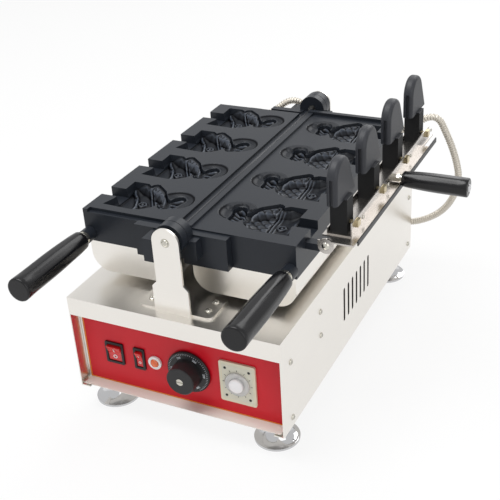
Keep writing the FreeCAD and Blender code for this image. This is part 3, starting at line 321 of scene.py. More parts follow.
class Paints:
    """All materials, each made once from its finish."""

    SLOW_SHARE = 0.6
    # Near-black of the painted shade mixed into the creases of the cavities.
    PAINTED_SHADE_BLACK: Colour = (0.003, 0.003, 0.004)
    LABEL_RED: tuple[Colour, Colour] = ((0.58, 0.004, 0.014), (0.66, 0.008, 0.020))
    LABEL_LINE: Colour = (0.80, 0.34, 0.01)
    LENS: tuple[Colour, Colour] = ((0.75, 0.06, 0.01), (0.9, 0.22, 0.03))

    def __init__(self) -> None:
        """Start with none."""
        self.made: dict[str, bpy.types.Material] = {}

    def get(self, finish: Finish) -> bpy.types.Material:
        """Material of a finish, new or made before."""
        if finish.name not in self.made:
            self.made[finish.name] = self._surface(finish)
        return self.made[finish.name]

    def _surface(self, finish: Finish) -> bpy.types.Material:
        """Build the nodes of a finish."""
        graph = Surface(finish.name)
        cloud = graph.patches(finish.cloud)
        grain = graph.noise(finish.grain.value)
        mix = cloud * self.SLOW_SHARE + grain * (1 - self.SLOW_SHARE)
        inputs = {
            "Base Color": graph.varied(mix, finish),
            "Roughness": finish.roughness + (mix - 0.5) * finish.spread,
            "Metallic": finish.metallic,
            "Coat Weight": finish.coat,
            "Specular IOR Level": finish.shine,
            "Transmission Weight": finish.clear,
            "Normal": graph.bump(grain, finish.bump),
        }
        return graph.close(graph.principled(inputs))

    def relief(self, finish: Finish) -> bpy.types.Material:
        """Finish of a moulded surface, with painted shade that darkens its duller creases and a painted
        highlight on its ridges.

        Args:
            finish: What the open surface is like.

        Returns:
            The material, which reads the mesh's own crease values.
        """
        name = finish.name + "_relief"
        if name not in self.made:
            open_gain, hollow_gain, ridge_gain = 1.15, 0.3, 2.9
            ridge_below, ridge_rate, dulling = 0.22, 4.5, 0.3
            graph = Surface(name)
            attribute = graph.node("ShaderNodeAttribute", attribute_name="crease")
            crease = Value(graph, attribute.outputs["Fac"])
            grain = graph.noise(finish.grain.value)
            pale, dark = (full(finish.colour, gain) for gain in (open_gain, hollow_gain))
            # Painted shade: the colour darkens towards the creases.
            hollow = graph.blend(crease, pale, dark)
            # Painted highlight: the colour turns pale on the ridges.
            ridge_highlight = (ridge_below - crease) * ridge_rate
            inputs = {
                "Base Color": graph.blend(ridge_highlight, hollow, full(finish.colour, ridge_gain)),
                "Roughness": finish.roughness + crease * dulling + (grain - 0.5) * finish.spread,
                "Specular IOR Level": finish.shine,
                "Normal": graph.bump(grain, finish.bump),
            }
            open_face = graph.principled(inputs)
            # Painted shade: a near-black diffuse surface is mixed in where the crease value is high.
            painted_shade = graph.out("ShaderNodeBsdfDiffuse", {"Color": full(self.PAINTED_SHADE_BLACK)})
            mixed = graph.out("ShaderNodeMixShader", {0: crease, 1: open_face, 2: painted_shade})
            self.made[name] = graph.close(mixed)
        return self.made[name]

    @staticmethod
    def core(finish: Finish, stem_top: float) -> bpy.types.Material:
        """Finish of a mouth core, with painted shade that darkens its stem.

        Args:
            finish: What the hood is like.
            stem_top: Height at which the stem ends, in metres.

        Returns:
            The material.
        """
        stem_shade_gain, dulling = 0.12, 0.22
        graph = Surface("core_finish")
        # Painted shade: below the stem's top the colour is darkened, for the shadow under the hood.
        stem = graph.axis("Z") < stem_top
        hood = graph.varied(graph.patches(finish.cloud), finish)
        grain = graph.noise(finish.grain.value)
        inputs = {
            "Base Color": graph.blend(stem, hood, full(finish.colour, stem_shade_gain)),
            "Roughness": finish.roughness + stem * dulling + (grain - 0.5) * finish.spread,
            "Specular IOR Level": finish.shine,
            "Normal": graph.bump(grain, finish.bump),
        }
        return graph.close(graph.principled(inputs))

    def label(self, low: Vector, high: Vector, margin: float, line: float) -> bpy.types.Material:
        """Red sheet with a thin yellow line inside its edge.

        Args:
            low: Lowest corner of the sheet.
            high: Highest corner of the sheet.
            margin: Distance of the line from the edge.
            line: Width of the line.

        Returns:
            The material.
        """
        graph = Surface("label_print")
        middle = (low + high) / 2
        half = (high - low) / 2
        across = graph.axis("X").apart(middle.x) - (half.x - margin)
        along = graph.axis("Z").apart(middle.z) - (half.z - margin)
        edge = across.most(along)
        mask = (edge > 0.0) * (edge < line)
        patches, roughness, spread, shine, bump = 16.0, 0.32, 0.1, 0.3, 0.03
        cloud = graph.patches(patches)
        red = graph.blend(cloud, *(full(colour) for colour in self.LABEL_RED))
        inputs = {
            "Base Color": graph.blend(mask, red, full(self.LABEL_LINE)),
            "Roughness": roughness + (cloud - 0.5) * spread,
            "Specular IOR Level": shine,
            "Normal": graph.bump(graph.noise(Grain.SATIN.value), bump),
        }
        return graph.close(graph.principled(inputs))

    def lens(self) -> bpy.types.Material:
        """Orange-red lamp lens, mottled."""
        mottle, roughness, spread, coat = 160.0, 0.12, 0.06, 0.8
        graph = Surface("lamp_lens_glass")
        cloud = graph.noise((mottle,) * 3)
        inputs = {
            "Base Color": graph.blend(cloud, *(full(colour) for colour in self.LENS)),
            "Roughness": roughness + cloud * spread,
            "Coat Weight": coat,
        }
        return graph.close(graph.principled(inputs))


PAINTS = Paints()


def linked(name: str, data: bpy.types.ID) -> bpy.types.Object:
    """New object of some data, in the scene."""
    made = bpy.data.objects.new(name, data)
    bpy.context.scene.collection.objects.link(made)
    return made


def new_object(
    name: str, mesh: bpy.types.Mesh, finish: Finish | None, smooth: bool = False
) -> bpy.types.Object:
    """Put a mesh into the scene as a piece.

    Args:
        name: Name of the piece.
        mesh: Its mesh, in the frame's own metres.
        finish: Its finish, or nothing if the mesh already has one.
        smooth: Whether its faces are shaded smooth.

    Returns:
        The object.
    """
    mesh.name = name
    if finish is not None:
        mesh.materials.clear()
        mesh.materials.append(PAINTS.get(finish))
    mesh.polygons.foreach_set("use_smooth", [smooth] * len(mesh.polygons))
    LOG.info("%s: %d faces", name, len(mesh.polygons))
    return linked(name, mesh)


def settle(piece: bpy.types.Object, body: str, slot: str, *nodes: str) -> bpy.types.Object:
    """Let a piece ride on a body.

    Args:
        piece: The piece.
        body: Body that it rides on.
        slot: Slot that its finish belongs to; not used.
        *nodes: Nodes that it stands for.

    Returns:
        The piece.
    """
    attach(piece, body)
    if nodes:
        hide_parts(*nodes)
    return piece


def corners(node: str) -> tuple[Vector, Vector]:
    """Lowest and highest corner of a node at rest."""
    low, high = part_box(node)
    return Vector(low), Vector(high)


def plain_mesh(piece: bpy.types.Object) -> bpy.types.Mesh:
    """Mesh of an object as it is evaluated, and the object itself removed."""
    graph = bpy.context.evaluated_depsgraph_get()
    mesh = bpy.data.meshes.new_from_object(piece.evaluated_get(graph))
    bpy.data.objects.remove(piece)
    return mesh


def settled_mesh(made: bmesh.types.BMesh, name: str) -> bpy.types.Mesh:
    """Mesh of a finished edit mesh, which is freed."""
    mesh = bpy.data.meshes.new(name)
    made.to_mesh(mesh)
    made.free()
    return mesh


class Group(Graph):
    """Geometry Nodes tree that ends by setting a material."""

    def __init__(self, name: str, kinds: dict[str, str]) -> None:
        """Make a tree with its inputs and output.

        Args:
            name: Name of the tree.
            kinds: Kind of socket of each input besides the geometry.
        """
        super().__init__(bpy.data.node_groups.new(name, "GeometryNodeTree"))
        face = self.tree.interface
        face.new_socket("Geometry", in_out="INPUT", socket_type="NodeSocketGeometry")
        self.keys: dict[str, str] = {}
        for title, kind in kinds.items():
            made = face.new_socket(title, in_out="INPUT", socket_type=f"NodeSocket{kind}")
            self.keys[title] = made.identifier
        face.new_socket("Geometry", in_out="OUTPUT", socket_type="NodeSocketGeometry")
        self.start = self.node("NodeGroupInput").outputs

    def end(self, geometry: bpy.types.NodeSocket) -> None:
        """Make the copies real, set the material and close the tree."""
        real = self.out("GeometryNodeRealizeInstances", {0: geometry})
        inputs = {"Geometry": real, "Material": self.start["Material"]}
        self.node("NodeGroupOutput", {0: self.out("GeometryNodeSetMaterial", inputs)})

    def run(self, name: str, mesh: bpy.types.Mesh, values: dict[str, Any]) -> bpy.types.Mesh:
        """Mesh that the tree makes of another.

        Args:
            name: Name of the piece.
            mesh: Mesh that goes in.
            values: Values of the inputs by name.

        Returns:
            The mesh that comes out.
        """
        carrier = linked(name + "_carrier", mesh)
        change = carrier.modifiers.new("Group", "NODES")
        change.node_group = self.tree
        for title, value in values.items():
            change[self.keys[title]] = value
        return plain_mesh(carrier)


class Repeat(Group):
    """Tree that sets one shape on every point of a mesh."""

    def __init__(self) -> None:
        """Build the tree once."""
        super().__init__("set_on_points", {"Shape": "Object", "Material": "Material"})
        shape = self.node("GeometryNodeObjectInfo", {"Object": self.start["Shape"]})
        turn = self.node("GeometryNodeInputNamedAttribute", {"Name": "turn"}, data_type="FLOAT_VECTOR")
        inputs = {
            "Points": self.start["Geometry"],
            "Instance": shape.outputs["Geometry"],
            "Rotation": turn.outputs["Attribute"],
        }
        self.end(self.out("GeometryNodeInstanceOnPoints", inputs))

    def build(
        self,
        name: str,
        shape: bpy.types.Mesh,
        spots: Sequence[tuple[Point, Point]],
        finish: Finish,
        smooth: bool = False,
    ) -> bpy.types.Object:
        """Set a shape on points.

        Args:
            name: Name of the new piece.
            shape: Mesh that repeats, about its own origin.
            spots: Place and Euler turn of each copy.
            finish: Finish of the piece.
            smooth: Whether its faces are shaded smooth.

        Returns:
            The piece.
        """
        mesh = bpy.data.meshes.new(name)
        mesh.from_pydata([place for place, _ in spots], [], [])
        turns = mesh.attributes.new("turn", "FLOAT_VECTOR", "POINT")
        turns.data.foreach_set("vector", [part for _, turn in spots for part in turn])
        model = linked(name + "_shape", shape)
        done = self.run(name, mesh, {"Shape": model, "Material": PAINTS.get(finish)})
        bpy.data.objects.remove(model)
        return new_object(name, done, finish, smooth)


class Ribs(Group):
    """Tree that sweeps a circle along a line, with a radius that waves."""

    SIDES = 20

    def __init__(self) -> None:
        """Build the tree."""
        numbers = {name: "Float" for name in ("Ribs", "Crest", "Depth")}
        super().__init__("ribbed_hose", {"Rings": "Int", **numbers, "Material": "Material"})
        line = self.out("GeometryNodeMeshToCurve", {0: self.start["Geometry"]})
        even = self.out("GeometryNodeResampleCurve", {"Curve": line, "Count": self.start["Rings"]})
        along = Value(self, self.node("GeometryNodeSplineParameter").outputs["Factor"])
        wave = (along * self.start["Ribs"] * math.tau).cosine()
        sunk = (wave + 1.0) * 0.5 * self.start["Depth"]
        ring = {"Resolution": self.SIDES, "Radius": 1.0}
        inputs = {
            "Curve": even,
            "Profile Curve": self.out("GeometryNodeCurvePrimitiveCircle", ring),
            "Scale": Value(self, self.start["Crest"]) - sunk,
            "Fill Caps": True,
        }
        self.end(self.out("GeometryNodeCurveToMesh", inputs))


def spun(profile: Iterable[Spot], steps: int) -> bpy.types.Mesh:
    """Closed shape turned about Z.

    Args:
        profile: Radius and height of each ring, from bottom to top, in metres.
        steps: Sides of each ring.

    Returns:
        The mesh, with flat ends.
    """
    rings = list(profile)
    points: list[Point] = []
    for radius, height in rings:
        for step in range(steps):
            turn = math.tau * step / steps
            points.append((radius * math.cos(turn), radius * math.sin(turn), height))
    faces: list[list[int]] = [list(range(steps))[::-1]]
    for ring in range(len(rings) - 1):
        for step in range(steps):
            near = ring * steps + step
            far = ring * steps + (step + 1) % steps
            faces.append([near, far, far + steps, near + steps])
    faces.append([(len(rings) - 1) * steps + step for step in range(steps)])
    mesh = bpy.data.meshes.new("spun")
    mesh.from_pydata(points, [], faces)
    return mesh


def block(size: Point, edge: float = 0.2) -> bpy.types.Mesh:
    """Block about its own middle, its edges broken by a share of its least size."""
    made = bmesh.new()
    bmesh.ops.create_cube(made, size=1.0)
    bmesh.ops.scale(made, vec=size, verts=made.verts)
    if edge:
        bmesh.ops.bevel(made, geom=made.edges[:], offset=min(size) * edge, segments=1, affect="EDGES")
    return settled_mesh(made, "block")


@dataclass(frozen=True)
class ScrewHead:
    """Round screw head with a cross recess, in millimetres.

    Attributes:
        radius: Radius of the head.
        dome: Height of its dome.
        cross: Half length of the recess.
        steps: Sides of the head.
        rings: Rings of its dome.
        arm: Half width of the recess, as a share of its half length.
        sunk: Depth of the recess, as a share of its half length.
        tip: Depth of its middle, as a share of its half length.
    """

    radius: float
    dome: float
    cross: float
    steps: int = 20
    rings: int = 5
    arm: float = 0.3
    sunk: float = 0.4
    tip: float = 0.5

    def mesh(self) -> bpy.types.Mesh:
        """Mesh of the head, standing on its own origin."""
        made = bmesh.new()
        rows: list[list[bmesh.types.BMVert]] = []
        for ring in range(self.rings):
            lean = QUARTER * ring / self.rings
            row = []
            for step in range(self.steps):
                turn = math.tau * step / self.steps
                x = self.radius * math.cos(lean) * math.cos(turn)
                y = self.radius * math.cos(lean) * math.sin(turn)
                z = self.dome * math.sin(lean) - self._recess(abs(x), abs(y))
                row.append(made.verts.new((x * MM, y * MM, z * MM)))
            rows.append(row)
        tip = made.verts.new((0, 0, (self.dome - self.cross * self.tip) * MM))
        for low, high in zip(rows, rows[1:]):
            for step in range(self.steps):
                after = (step + 1) % self.steps
                made.faces.new((low[step], low[after], high[after], high[step]))
        for step in range(self.steps):
            made.faces.new((rows[-1][step], rows[-1][(step + 1) % self.steps], tip))
        made.faces.new(rows[0][::-1])
        return settled_mesh(made, "screw_head")

    def _recess(self, x: float, y: float) -> float:
        """Depth of the recess at a place."""
        inside = min(x, y) < self.cross * self.arm and max(x, y) < self.cross
        return self.cross * self.sunk if inside else 0.0


def lettering(name: str, text: str, size: float, place: Matrix, finish: Finish) -> bpy.types.Object:
    """Thin raised mark, made a mesh.

    Args:
        name: Name of the piece.
        text: What it says.
        size: Height of the letters.
        place: Where its middle lies and how it is turned.
        finish: Finish of the mark.

    Returns:
        The piece.
    """
    half_thick, bolder = 0.12 * MM, 0.025
    curve = bpy.data.curves.new(name, "FONT")
    curve.body = text
    curve.size = size
    curve.extrude = half_thick
    curve.offset = size * bolder
    curve.resolution_u = 3
    curve.align_x = "CENTER"
    curve.align_y = "CENTER"
    mesh = plain_mesh(linked(name + "_text", curve))
    mesh.transform(place)
    return new_object(name, mesh, finish)


def joined(name: str, parts: Sequence[bpy.types.Object], finish: Finish) -> bpy.types.Object:
    """Several pieces as one.

    Args:
        name: Name of the new piece.
        parts: Pieces that go into it.
        finish: Its finish.

    Returns:
        The piece.
    """
    made = bmesh.new()
    for part in parts:
        made.from_mesh(part.data)
        bpy.data.objects.remove(part)
    return new_object(name, settled_mesh(made, name), finish)


@dataclass
class Machine:
    """Places that the pieces share, read from the frame.

    Attributes:
        hinge: Point on the hinge line, in metres.
        repeat: Tree that sets shapes on points.
    """

    frame: dict[str, Any]
    hinge: Vector
    repeat: Repeat

    @classmethod
    def of(cls, frame: dict[str, Any]) -> "Machine":
        """Read the shared places from a loaded frame."""
        made = cls(frame, Vector(), Repeat())
        made.hinge = made.joint("left_half_hinge")
        return made

    def joint(self, name: str) -> Vector:
        """Place of a joint, in metres."""
        joints = self.frame["record"]["behaviour"]["joints"]
        return Vector(next(item for item in joints if item["name"] == name)["pos_m"])

    def at(self, x: float, y: float, z: float) -> Vector:
        """Point given in millimetres from the hinge line's middle on the ground."""
        return Vector((self.hinge.x + x * MM, self.hinge.y + y * MM, z * MM))

    def dress(self, finish: Finish | bpy.types.Material, *names: str) -> None:
        """Give carried-over nodes their finish.

        Args:
            finish: A finish, or a material of its own.
            *names: Names of the nodes.
        """
        paint = PAINTS.get(finish) if isinstance(finish, Finish) else finish
        for name in names:
            node = self.frame["nodes"][name]
            node.data.materials.clear()
            node.data.materials.append(paint)


@dataclass(frozen=True)
class Conduit:
    """Ribbed metal hose from the base to one half.

    Attributes:
        name: Name of the piece.
        node: Node that it stands for.
        half: Body of the half that it feeds; not used.
        from_base: Whether its bend would be counted from the base rather than the half. Both
        ways the hose is only baked in place, and it does not bend.
        points: Route from the half to the base, in millimetres from the hinge line's middle on the
            ground.
        diameter: Outer diameter in millimetres.
        rib: Depth of a rib in millimetres.
        pitch: Distance between ribs in millimetres.
        rings: Rings of the tube to a rib.
    """

    name: str
    node: str
    half: str
    from_base: bool
    points: tuple[Point, ...]
    diameter: float = 11.2
    rib: float = 1.3
    pitch: float = 4.0
    rings: int = 6

    def build(self, machine: Machine) -> bpy.types.Object:
        """Args:
            machine: Shared places.

        Returns:
            The piece.
        """
        line = self._line(machine)
        length = sum((after - before).length for before, after in zip(line, line[1:]))
        piece = new_object(self.name, self._tube(line, round(length / (self.pitch * MM))), HOSE, True)
        if self.from_base:
            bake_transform(piece)
        else:
            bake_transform(piece)
        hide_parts(self.node)
        return piece

    def _line(self, machine: Machine) -> list[Vector]:
        """Points along the route's smooth line."""
        curve = bpy.data.curves.new(self.name, "CURVE")
        curve.dimensions = "3D"
        curve.resolution_u = 12
        spline = curve.splines.new("NURBS")
        spline.points.add(len(self.points) - 1)
        for knot, spot in zip(spline.points, self.points):
            knot.co = (*machine.at(*spot), 1.0)
        spline.order_u = 3
        spline.use_endpoint_u = True
        mesh = plain_mesh(linked(self.name + "_route", curve))
        return [vertex.co.copy() for vertex in mesh.vertices]

    def _tube(self, line: list[Vector], ribs: int) -> bpy.types.Mesh:
        """Ribbed tube along a line.

        Args:
            line: Points of the centre line.
            ribs: Number of ribs.

        Returns:
            The mesh.
        """
        mesh = bpy.data.meshes.new(self.name)
        mesh.from_pydata(line, [(n, n + 1) for n in range(len(line) - 1)], [])
        values = {
            "Rings": ribs * self.rings + 1,
            "Ribs": float(ribs),
            "Crest": self.diameter * MM / 2,
            "Depth": self.rib * MM,
            "Material": PAINTS.get(HOSE),
        }
        return Ribs().run(self.name, mesh, values)


# Places where the hoses leave the fittings, in millimetres.
HALF_BACK = 216.0
BASE_BACK = 272.0
HALF_Z = 256.0
BASE_Z = 72.0
RIGHT_IN = 131.0
RIGHT_OUT = 112.0
LEFT_IN = -91.0
LEFT_OUT = 10.0

RIGHT_HOSE = Conduit(
    "right_hose",
    "right_conduit",
    "right_half",
    False,
    (
        (RIGHT_IN, HALF_BACK, HALF_Z),
        (RIGHT_IN + 14, HALF_BACK, HALF_Z),
        (RIGHT_IN + 32, HALF_BACK + 2, HALF_Z + 12),
        (RIGHT_IN + 50, HALF_BACK + 6, HALF_Z + 25),
        (RIGHT_IN + 66, HALF_BACK + 12, HALF_Z + 23),
        (RIGHT_IN + 75, HALF_BACK + 18, HALF_Z),
        (RIGHT_IN + 84, HALF_BACK + 24, HALF_Z - 25),
        (RIGHT_IN + 91, HALF_BACK + 30, HALF_Z - 52),
        (RIGHT_IN + 95, HALF_BACK + 36, HALF_Z - 82),
        (RIGHT_IN + 87, HALF_BACK + 42, HALF_Z - 118),
        (RIGHT_IN + 70, HALF_BACK + 48, HALF_Z - 147),
        (RIGHT_IN + 47, HALF_BACK + 52, HALF_Z - 167),
        (RIGHT_IN + 19, BASE_BACK - 1, BASE_Z + 3),
        (RIGHT_OUT + 16, BASE_BACK, BASE_Z),
        (RIGHT_OUT, BASE_BACK, BASE_Z),
    ),
)
LEFT_HOSE = Conduit(
    "left_hose",
    "left_conduit",
    "left_half",
    True,
    (
        (LEFT_IN, HALF_BACK, HALF_Z),
        (LEFT_IN + 12, HALF_BACK, HALF_Z),
        (LEFT_IN + 26, HALF_BACK + 9, HALF_Z + 9),
        (LEFT_IN + 40, HALF_BACK + 20, HALF_Z + 20),
        (LEFT_IN + 54, HALF_BACK + 30, HALF_Z + 18),
        (LEFT_IN + 66, HALF_BACK + 38, HALF_Z + 5),
        (LEFT_IN + 77, HALF_BACK + 44, HALF_Z - 13),
        (LEFT_IN + 87, HALF_BACK + 49, HALF_Z - 37),
        (LEFT_IN + 95, HALF_BACK + 53, HALF_Z - 64),
        (LEFT_OUT - 1, BASE_BACK, HALF_Z - 95),
        (LEFT_OUT, BASE_BACK - 1, HALF_Z - 120),
        (LEFT_OUT, BASE_BACK, BASE_Z + 31),
        (LEFT_OUT, BASE_BACK, BASE_Z + 17),
    ),
)


# Outline of one cavity: distance from the hinge line, and place along it.
# A pair of places is an arc by way of the first.
FISH: tuple[Any, ...] = (
    (126, 35.5),
    (103, 35.5),
    (97, 30.5),
    ((94, 36), (87, 37.5)),
    (69, 23),
    ((62, 13.5), (55.5, 9)),
    ((52, 18), (44, 22.5)),
    ((35.5, 17), (34, 7)),
    ((37, -1.5), (37, -10)),
    ((41, -20), (50, -25.5)),
    ((57, -23.5), (60.5, -16)),
    ((71, -31), (88, -38)),
    (122, -36.5),
    (131, -36),
    (125.5, -17),
    (125.5, 16),
)
ARC_STEPS = 6

# Curved lip of a left cavity's mouth: places along the hinge line, and distances from it.
MOUTH_ALONG = (-36.0, -31.0, -23.0, -10.5, 3.5, 17.0, 24.0, 33.0)
MOUTH_OUT = (111.0, 104.0, 98.2, 99.5, 105.5, 114.3, 121.0, 129.0)

# Line where the left casting's floor steps down to the mouth, in the same way.
STEP_ALONG = (-33.0, -2.0, 32.0)
STEP_OUT = (98.6, 101.6, 124.1)


def arc_points(start: Spot, way: Spot, stop: Spot, count: int) -> list[Spot]:
    """Points along the circle through three points, without the first.

    Args:
        start: First point.
        way: Point on the arc.
        stop: Last point.
        count: Number of points to give.

    Returns:
        The points, ending at the last one.
    """
    (ax, ay), (bx, by), (cx, cy) = start, way, stop
    spin = 2 * (ax * (by - cy) + bx * (cy - ay) + cx * (ay - by))
    squares = [x * x + y * y for x, y in (start, way, stop)]
    mid_x = (squares[0] * (by - cy) + squares[1] * (cy - ay) + squares[2] * (ay - by)) / spin
    mid_y = (squares[0] * (cx - bx) + squares[1] * (ax - cx) + squares[2] * (bx - ax)) / spin
    radius = math.hypot(ax - mid_x, ay - mid_y)
    first = math.atan2(ay - mid_y, ax - mid_x)
    sweep = math.atan2(cy - mid_y, cx - mid_x) - first
    sweep = sweep % math.tau if spin > 0 else -((-sweep) % math.tau)
    turns = [first + sweep * (n + 1) / count for n in range(count)]
    return [(mid_x + radius * math.cos(turn), mid_y + radius * math.sin(turn)) for turn in turns]


def ramp(share: np.ndarray) -> np.ndarray:
    """Share held between nought and one."""
    return np.clip(share, 0, 1)


def eased(share: np.ndarray) -> np.ndarray:
    """Share from nought to one with soft ends."""
    return share * share * (3 - 2 * share)


@dataclass(frozen=True)
class Ridge:
    """Rounded ridge along a line, in millimetres.

    Attributes:
        height: Height of its crest.
        wide: Half its width.
        out: Distance of its crest from the line.
    """

    height: float
    wide: float
    out: float = 0.0

    def over(self, gap: np.ndarray) -> np.ndarray:
        """Height at a distance from the line."""
        return self.height * np.exp(-(((gap - self.out) / self.wide) ** 2))


@dataclass(frozen=True)
class FishRelief:
    """Moulded floors of the four cavities of one half, with scales, gill, eye, fins and tail.

    Lengths are in millimetres. A place is a distance from the hinge line and a place along it, and a
    pair that gives a rise is where it starts and over what length.

    Attributes:
        name: Name of the half.
        side: Minus one for the left half, one for the right.
        eye: Place of the eye.
        roof: Greatest height under the swung-in core.
        bank_height: Height of the bank on the far side.
        rows: Number of fish.
        pitch: Distance between fish.
        depth: Depth of the cavity's flat floor.
        cell: Size of one cell of the floor's grid.
        across: Where the grid starts and ends, from the hinge line.
        along: Where it starts and ends, along the hinge line.
        skirt: Distance of the floor's edge from the outline.
        bed: Height of the floor above the cavity's own.
        least: Least height.
        crown: Height by which the floor rises towards its edge.
        shore: Distance from the edge over which it rises.
        fade: Rise of the relief from the edge.
        scale_height: Height of a scale.
        scale_wide: Width of a scale.
        scale_long: Distance between rows of scales.
        belly: Rise of the scales behind the tail.
        belly_end: Length over which they end at the gill.
        gill: Distance of the gill's middle from the hinge line.
        gill_bow: Middle of the gill along the hinge line, half its length, and how far its ends go.
        gill_ridge: Ridge of the gill.
        cheek: Ridge in front of the gill.
        cheek_reach: Middle of that ridge along the hinge line, and half its length.
        eye_ring: Ridge round the eye.
        pupil: Bead in its middle.
        fin: Point that the tail's ribs spread from.
        fin_ribs: Number of ribs in a whole turn.
        fin_height: Height of a rib.
        fin_end: Where the tail ends, and over what length.
        bank: Place where the bank starts, and its slope along the fish.
        bank_rise: Length over which it rises across the fish, then along it.
        bank_roof: Greatest height of the bank.
        core_from: Distance at which the swung-in core starts, and the greatest height short of it.
        stem: Where the core's stem starts, half its width, and the greatest height under it.
        tail: Middle of the dish round the tail.
        dish: Inner and outer radius of the dish, and its depth.
    """

    name: str
    side: int
    eye: Spot
    roof: float
    bank_height: float
    rows: int = 4
    pitch: float = 95.0
    depth: float = 15.15
    cell: float = 0.8
    across: Spot = (18.0, 134.0)
    along: Spot = (-40.0, 40.0)
    skirt: float = 2.2
    bed: float = 0.6
    least: float = 0.3
    crown: float = 9.0
    shore: float = 19.0
    fade: Spot = (2.0, 3.0)
    scale_height: float = 3.2
    scale_wide: float = 12.5
    scale_long: float = 7.4
    belly: Spot = (60.0, 3.0)
    belly_end: float = 2.0
    gill: float = 92.0
    gill_bow: Point = (7.0, 30.0, 2.5)
    gill_ridge: Ridge = Ridge(2.4, 1.6, 2.0)
    cheek: Ridge = Ridge(1.4, 1.2, 6.0)
    cheek_reach: Spot = (4.0, 24.0)
    eye_ring: Ridge = Ridge(2.4, 1.0, 5.0)
    pupil: Ridge = Ridge(2.6, 2.0)
    fin: Spot = (62.0, -1.0)
    fin_ribs: float = 16.0
    fin_height: float = 2.6
    fin_end: Spot = (57.0, 4.0)
    bank: Point = (78.0, 10.5, 0.5)
    bank_rise: Point = (7.0, 62.0, 6.0)
    bank_roof: float = 13.6
    core_from: Spot = (66.0, 10.0)
    stem: Point = (116.0, 14.0, 4.4)
    tail: Spot = (44.0, 4.0)
    dish: Point = (17.0, 25.0, 4.0)

    def build(self, machine: Machine) -> bpy.types.Object:
        """Make the floors and let them ride on their half.

        Args:
            machine: Shared places.

        Returns:
            The piece.
        """
        across = np.arange(*self.across, self.cell)
        along = np.arange(*self.along, self.cell)
        u, v = np.meshgrid(across, along, indexing="ij")
        edge = self._distance(self._outline(), u, v)
        lift = self._lift(u, v, edge)
        crease = self._crease(lift, edge)
        hollow, sides, around = self._dish(u, v, edge)
        grid = (u, v, np.where(around, hollow, lift), np.where(around, sides, crease))
        inside = (edge > self.skirt) | around
        made = bmesh.new()
        for row in range(self.rows):
            self._add(made, machine, grid, inside, self.pitch * (row - (self.rows - 1) / 2))
        bmesh.ops.recalc_face_normals(made, faces=made.faces)
        made.normal_update()
        if sum(face.normal.z for face in made.faces) < 0:
            bmesh.ops.reverse_faces(made, faces=made.faces)
        mesh = settled_mesh(made, self.name)
        mesh.materials.append(PAINTS.relief(COATING))
        piece = new_object(f"{self.name}_fish_relief", mesh, None, True)
        return settle(piece, f"{self.name}_half", "casting")

    @staticmethod
    def _outline() -> np.ndarray:
        """Corners of the cavity's outline, with its arcs divided."""
        spots: list[Spot] = [FISH[0]]
        here = FISH[0]
        for step in FISH[1:]:
            if isinstance(step[0], tuple):
                spots.extend(arc_points(here, *step, ARC_STEPS))
                here = step[1]
            else:
                spots.append(step)
                here = step
        return np.array(spots, dtype=float)

    @staticmethod
    def _distance(outline: np.ndarray, u: np.ndarray, v: np.ndarray) -> np.ndarray:
        """Distance to the outline, above zero inside it."""
        best = np.full(u.shape, np.inf)
        odd = np.zeros(u.shape, dtype=bool)
        for (ax, ay), (bx, by) in zip(outline, np.roll(outline, -1, axis=0)):
            run_x, run_y = bx - ax, by - ay
            share = ramp(((u - ax) * run_x + (v - ay) * run_y) / (run_x * run_x + run_y * run_y))
            best = np.minimum(best, np.hypot(u - ax - share * run_x, v - ay - share * run_y))
            if ay != by:
                crossing = (ay > v) != (by > v)
                odd ^= crossing & (u < ax + (v - ay) / (by - ay) * run_x)
        return np.where(odd, best, -best)

    def _lift(self, u: np.ndarray, v: np.ndarray, edge: np.ndarray) -> np.ndarray:
        """Height of the floor above the cavity's flat bottom.

        Args:
            u: Distance from the hinge line.
            v: Place along the hinge line.
            edge: Distance from the outline.

        Returns:
            Heights in millimetres.
        """
        bowl = self.crown * ramp(1 - edge / self.shore) ** 2
        fade = ramp((edge - self.fade[0]) / self.fade[1])
        start, side, slope = self.bank
        across, begin, along = self.bank_rise
        bank = ramp((v - side - (u - start) * slope) / across) * ramp((u - begin) / along)
        lift = self.bed + bowl + self._figure(u, v) * fade + bank * self.bank_height
        stem_from, stem_half, stem_roof = self.stem
        roof = np.where(u > self.core_from[0], self.roof, self.core_from[1])
        roof = np.where((u > stem_from) & (np.abs(v) < stem_half), np.minimum(roof, stem_roof), roof)
        return self._bounded(u, v, edge, lift, roof + bank * (self.bank_roof - roof), bank * fade, fade)

    def _bounded(
        self,
        u: np.ndarray,
        v: np.ndarray,
        edge: np.ndarray,
        lift: np.ndarray,
        roof: np.ndarray,
        bank: np.ndarray,
        fade: np.ndarray,
    ) -> np.ndarray:
        """Heights between the cavity's bottom and the swung-in core.

        Args:
            u: Distance from the hinge line.
            v: Place along the hinge line.
            edge: Distance from the outline.
            lift: Heights as shaped.
            roof: Greatest heights.
            bank: Share of the bank, faded at the edge.
            fade: Share of the relief by the distance from the edge.

        Returns:
            Heights in millimetres.
        """
        return np.clip(lift, self.least, roof)

    def _front(self, v: np.ndarray) -> np.ndarray:
        """Distance at which the scales end."""
        middle, reach, bow = self.gill_bow
        return self.gill + ((v - middle) / reach) ** 2 * bow

    def _cheek(self, gap: np.ndarray, v: np.ndarray) -> np.ndarray:
        """Height of the ridge in front of the gill."""
        middle, reach = self.cheek_reach
        return self.cheek.over(gap) * (np.abs(v - middle) < reach)

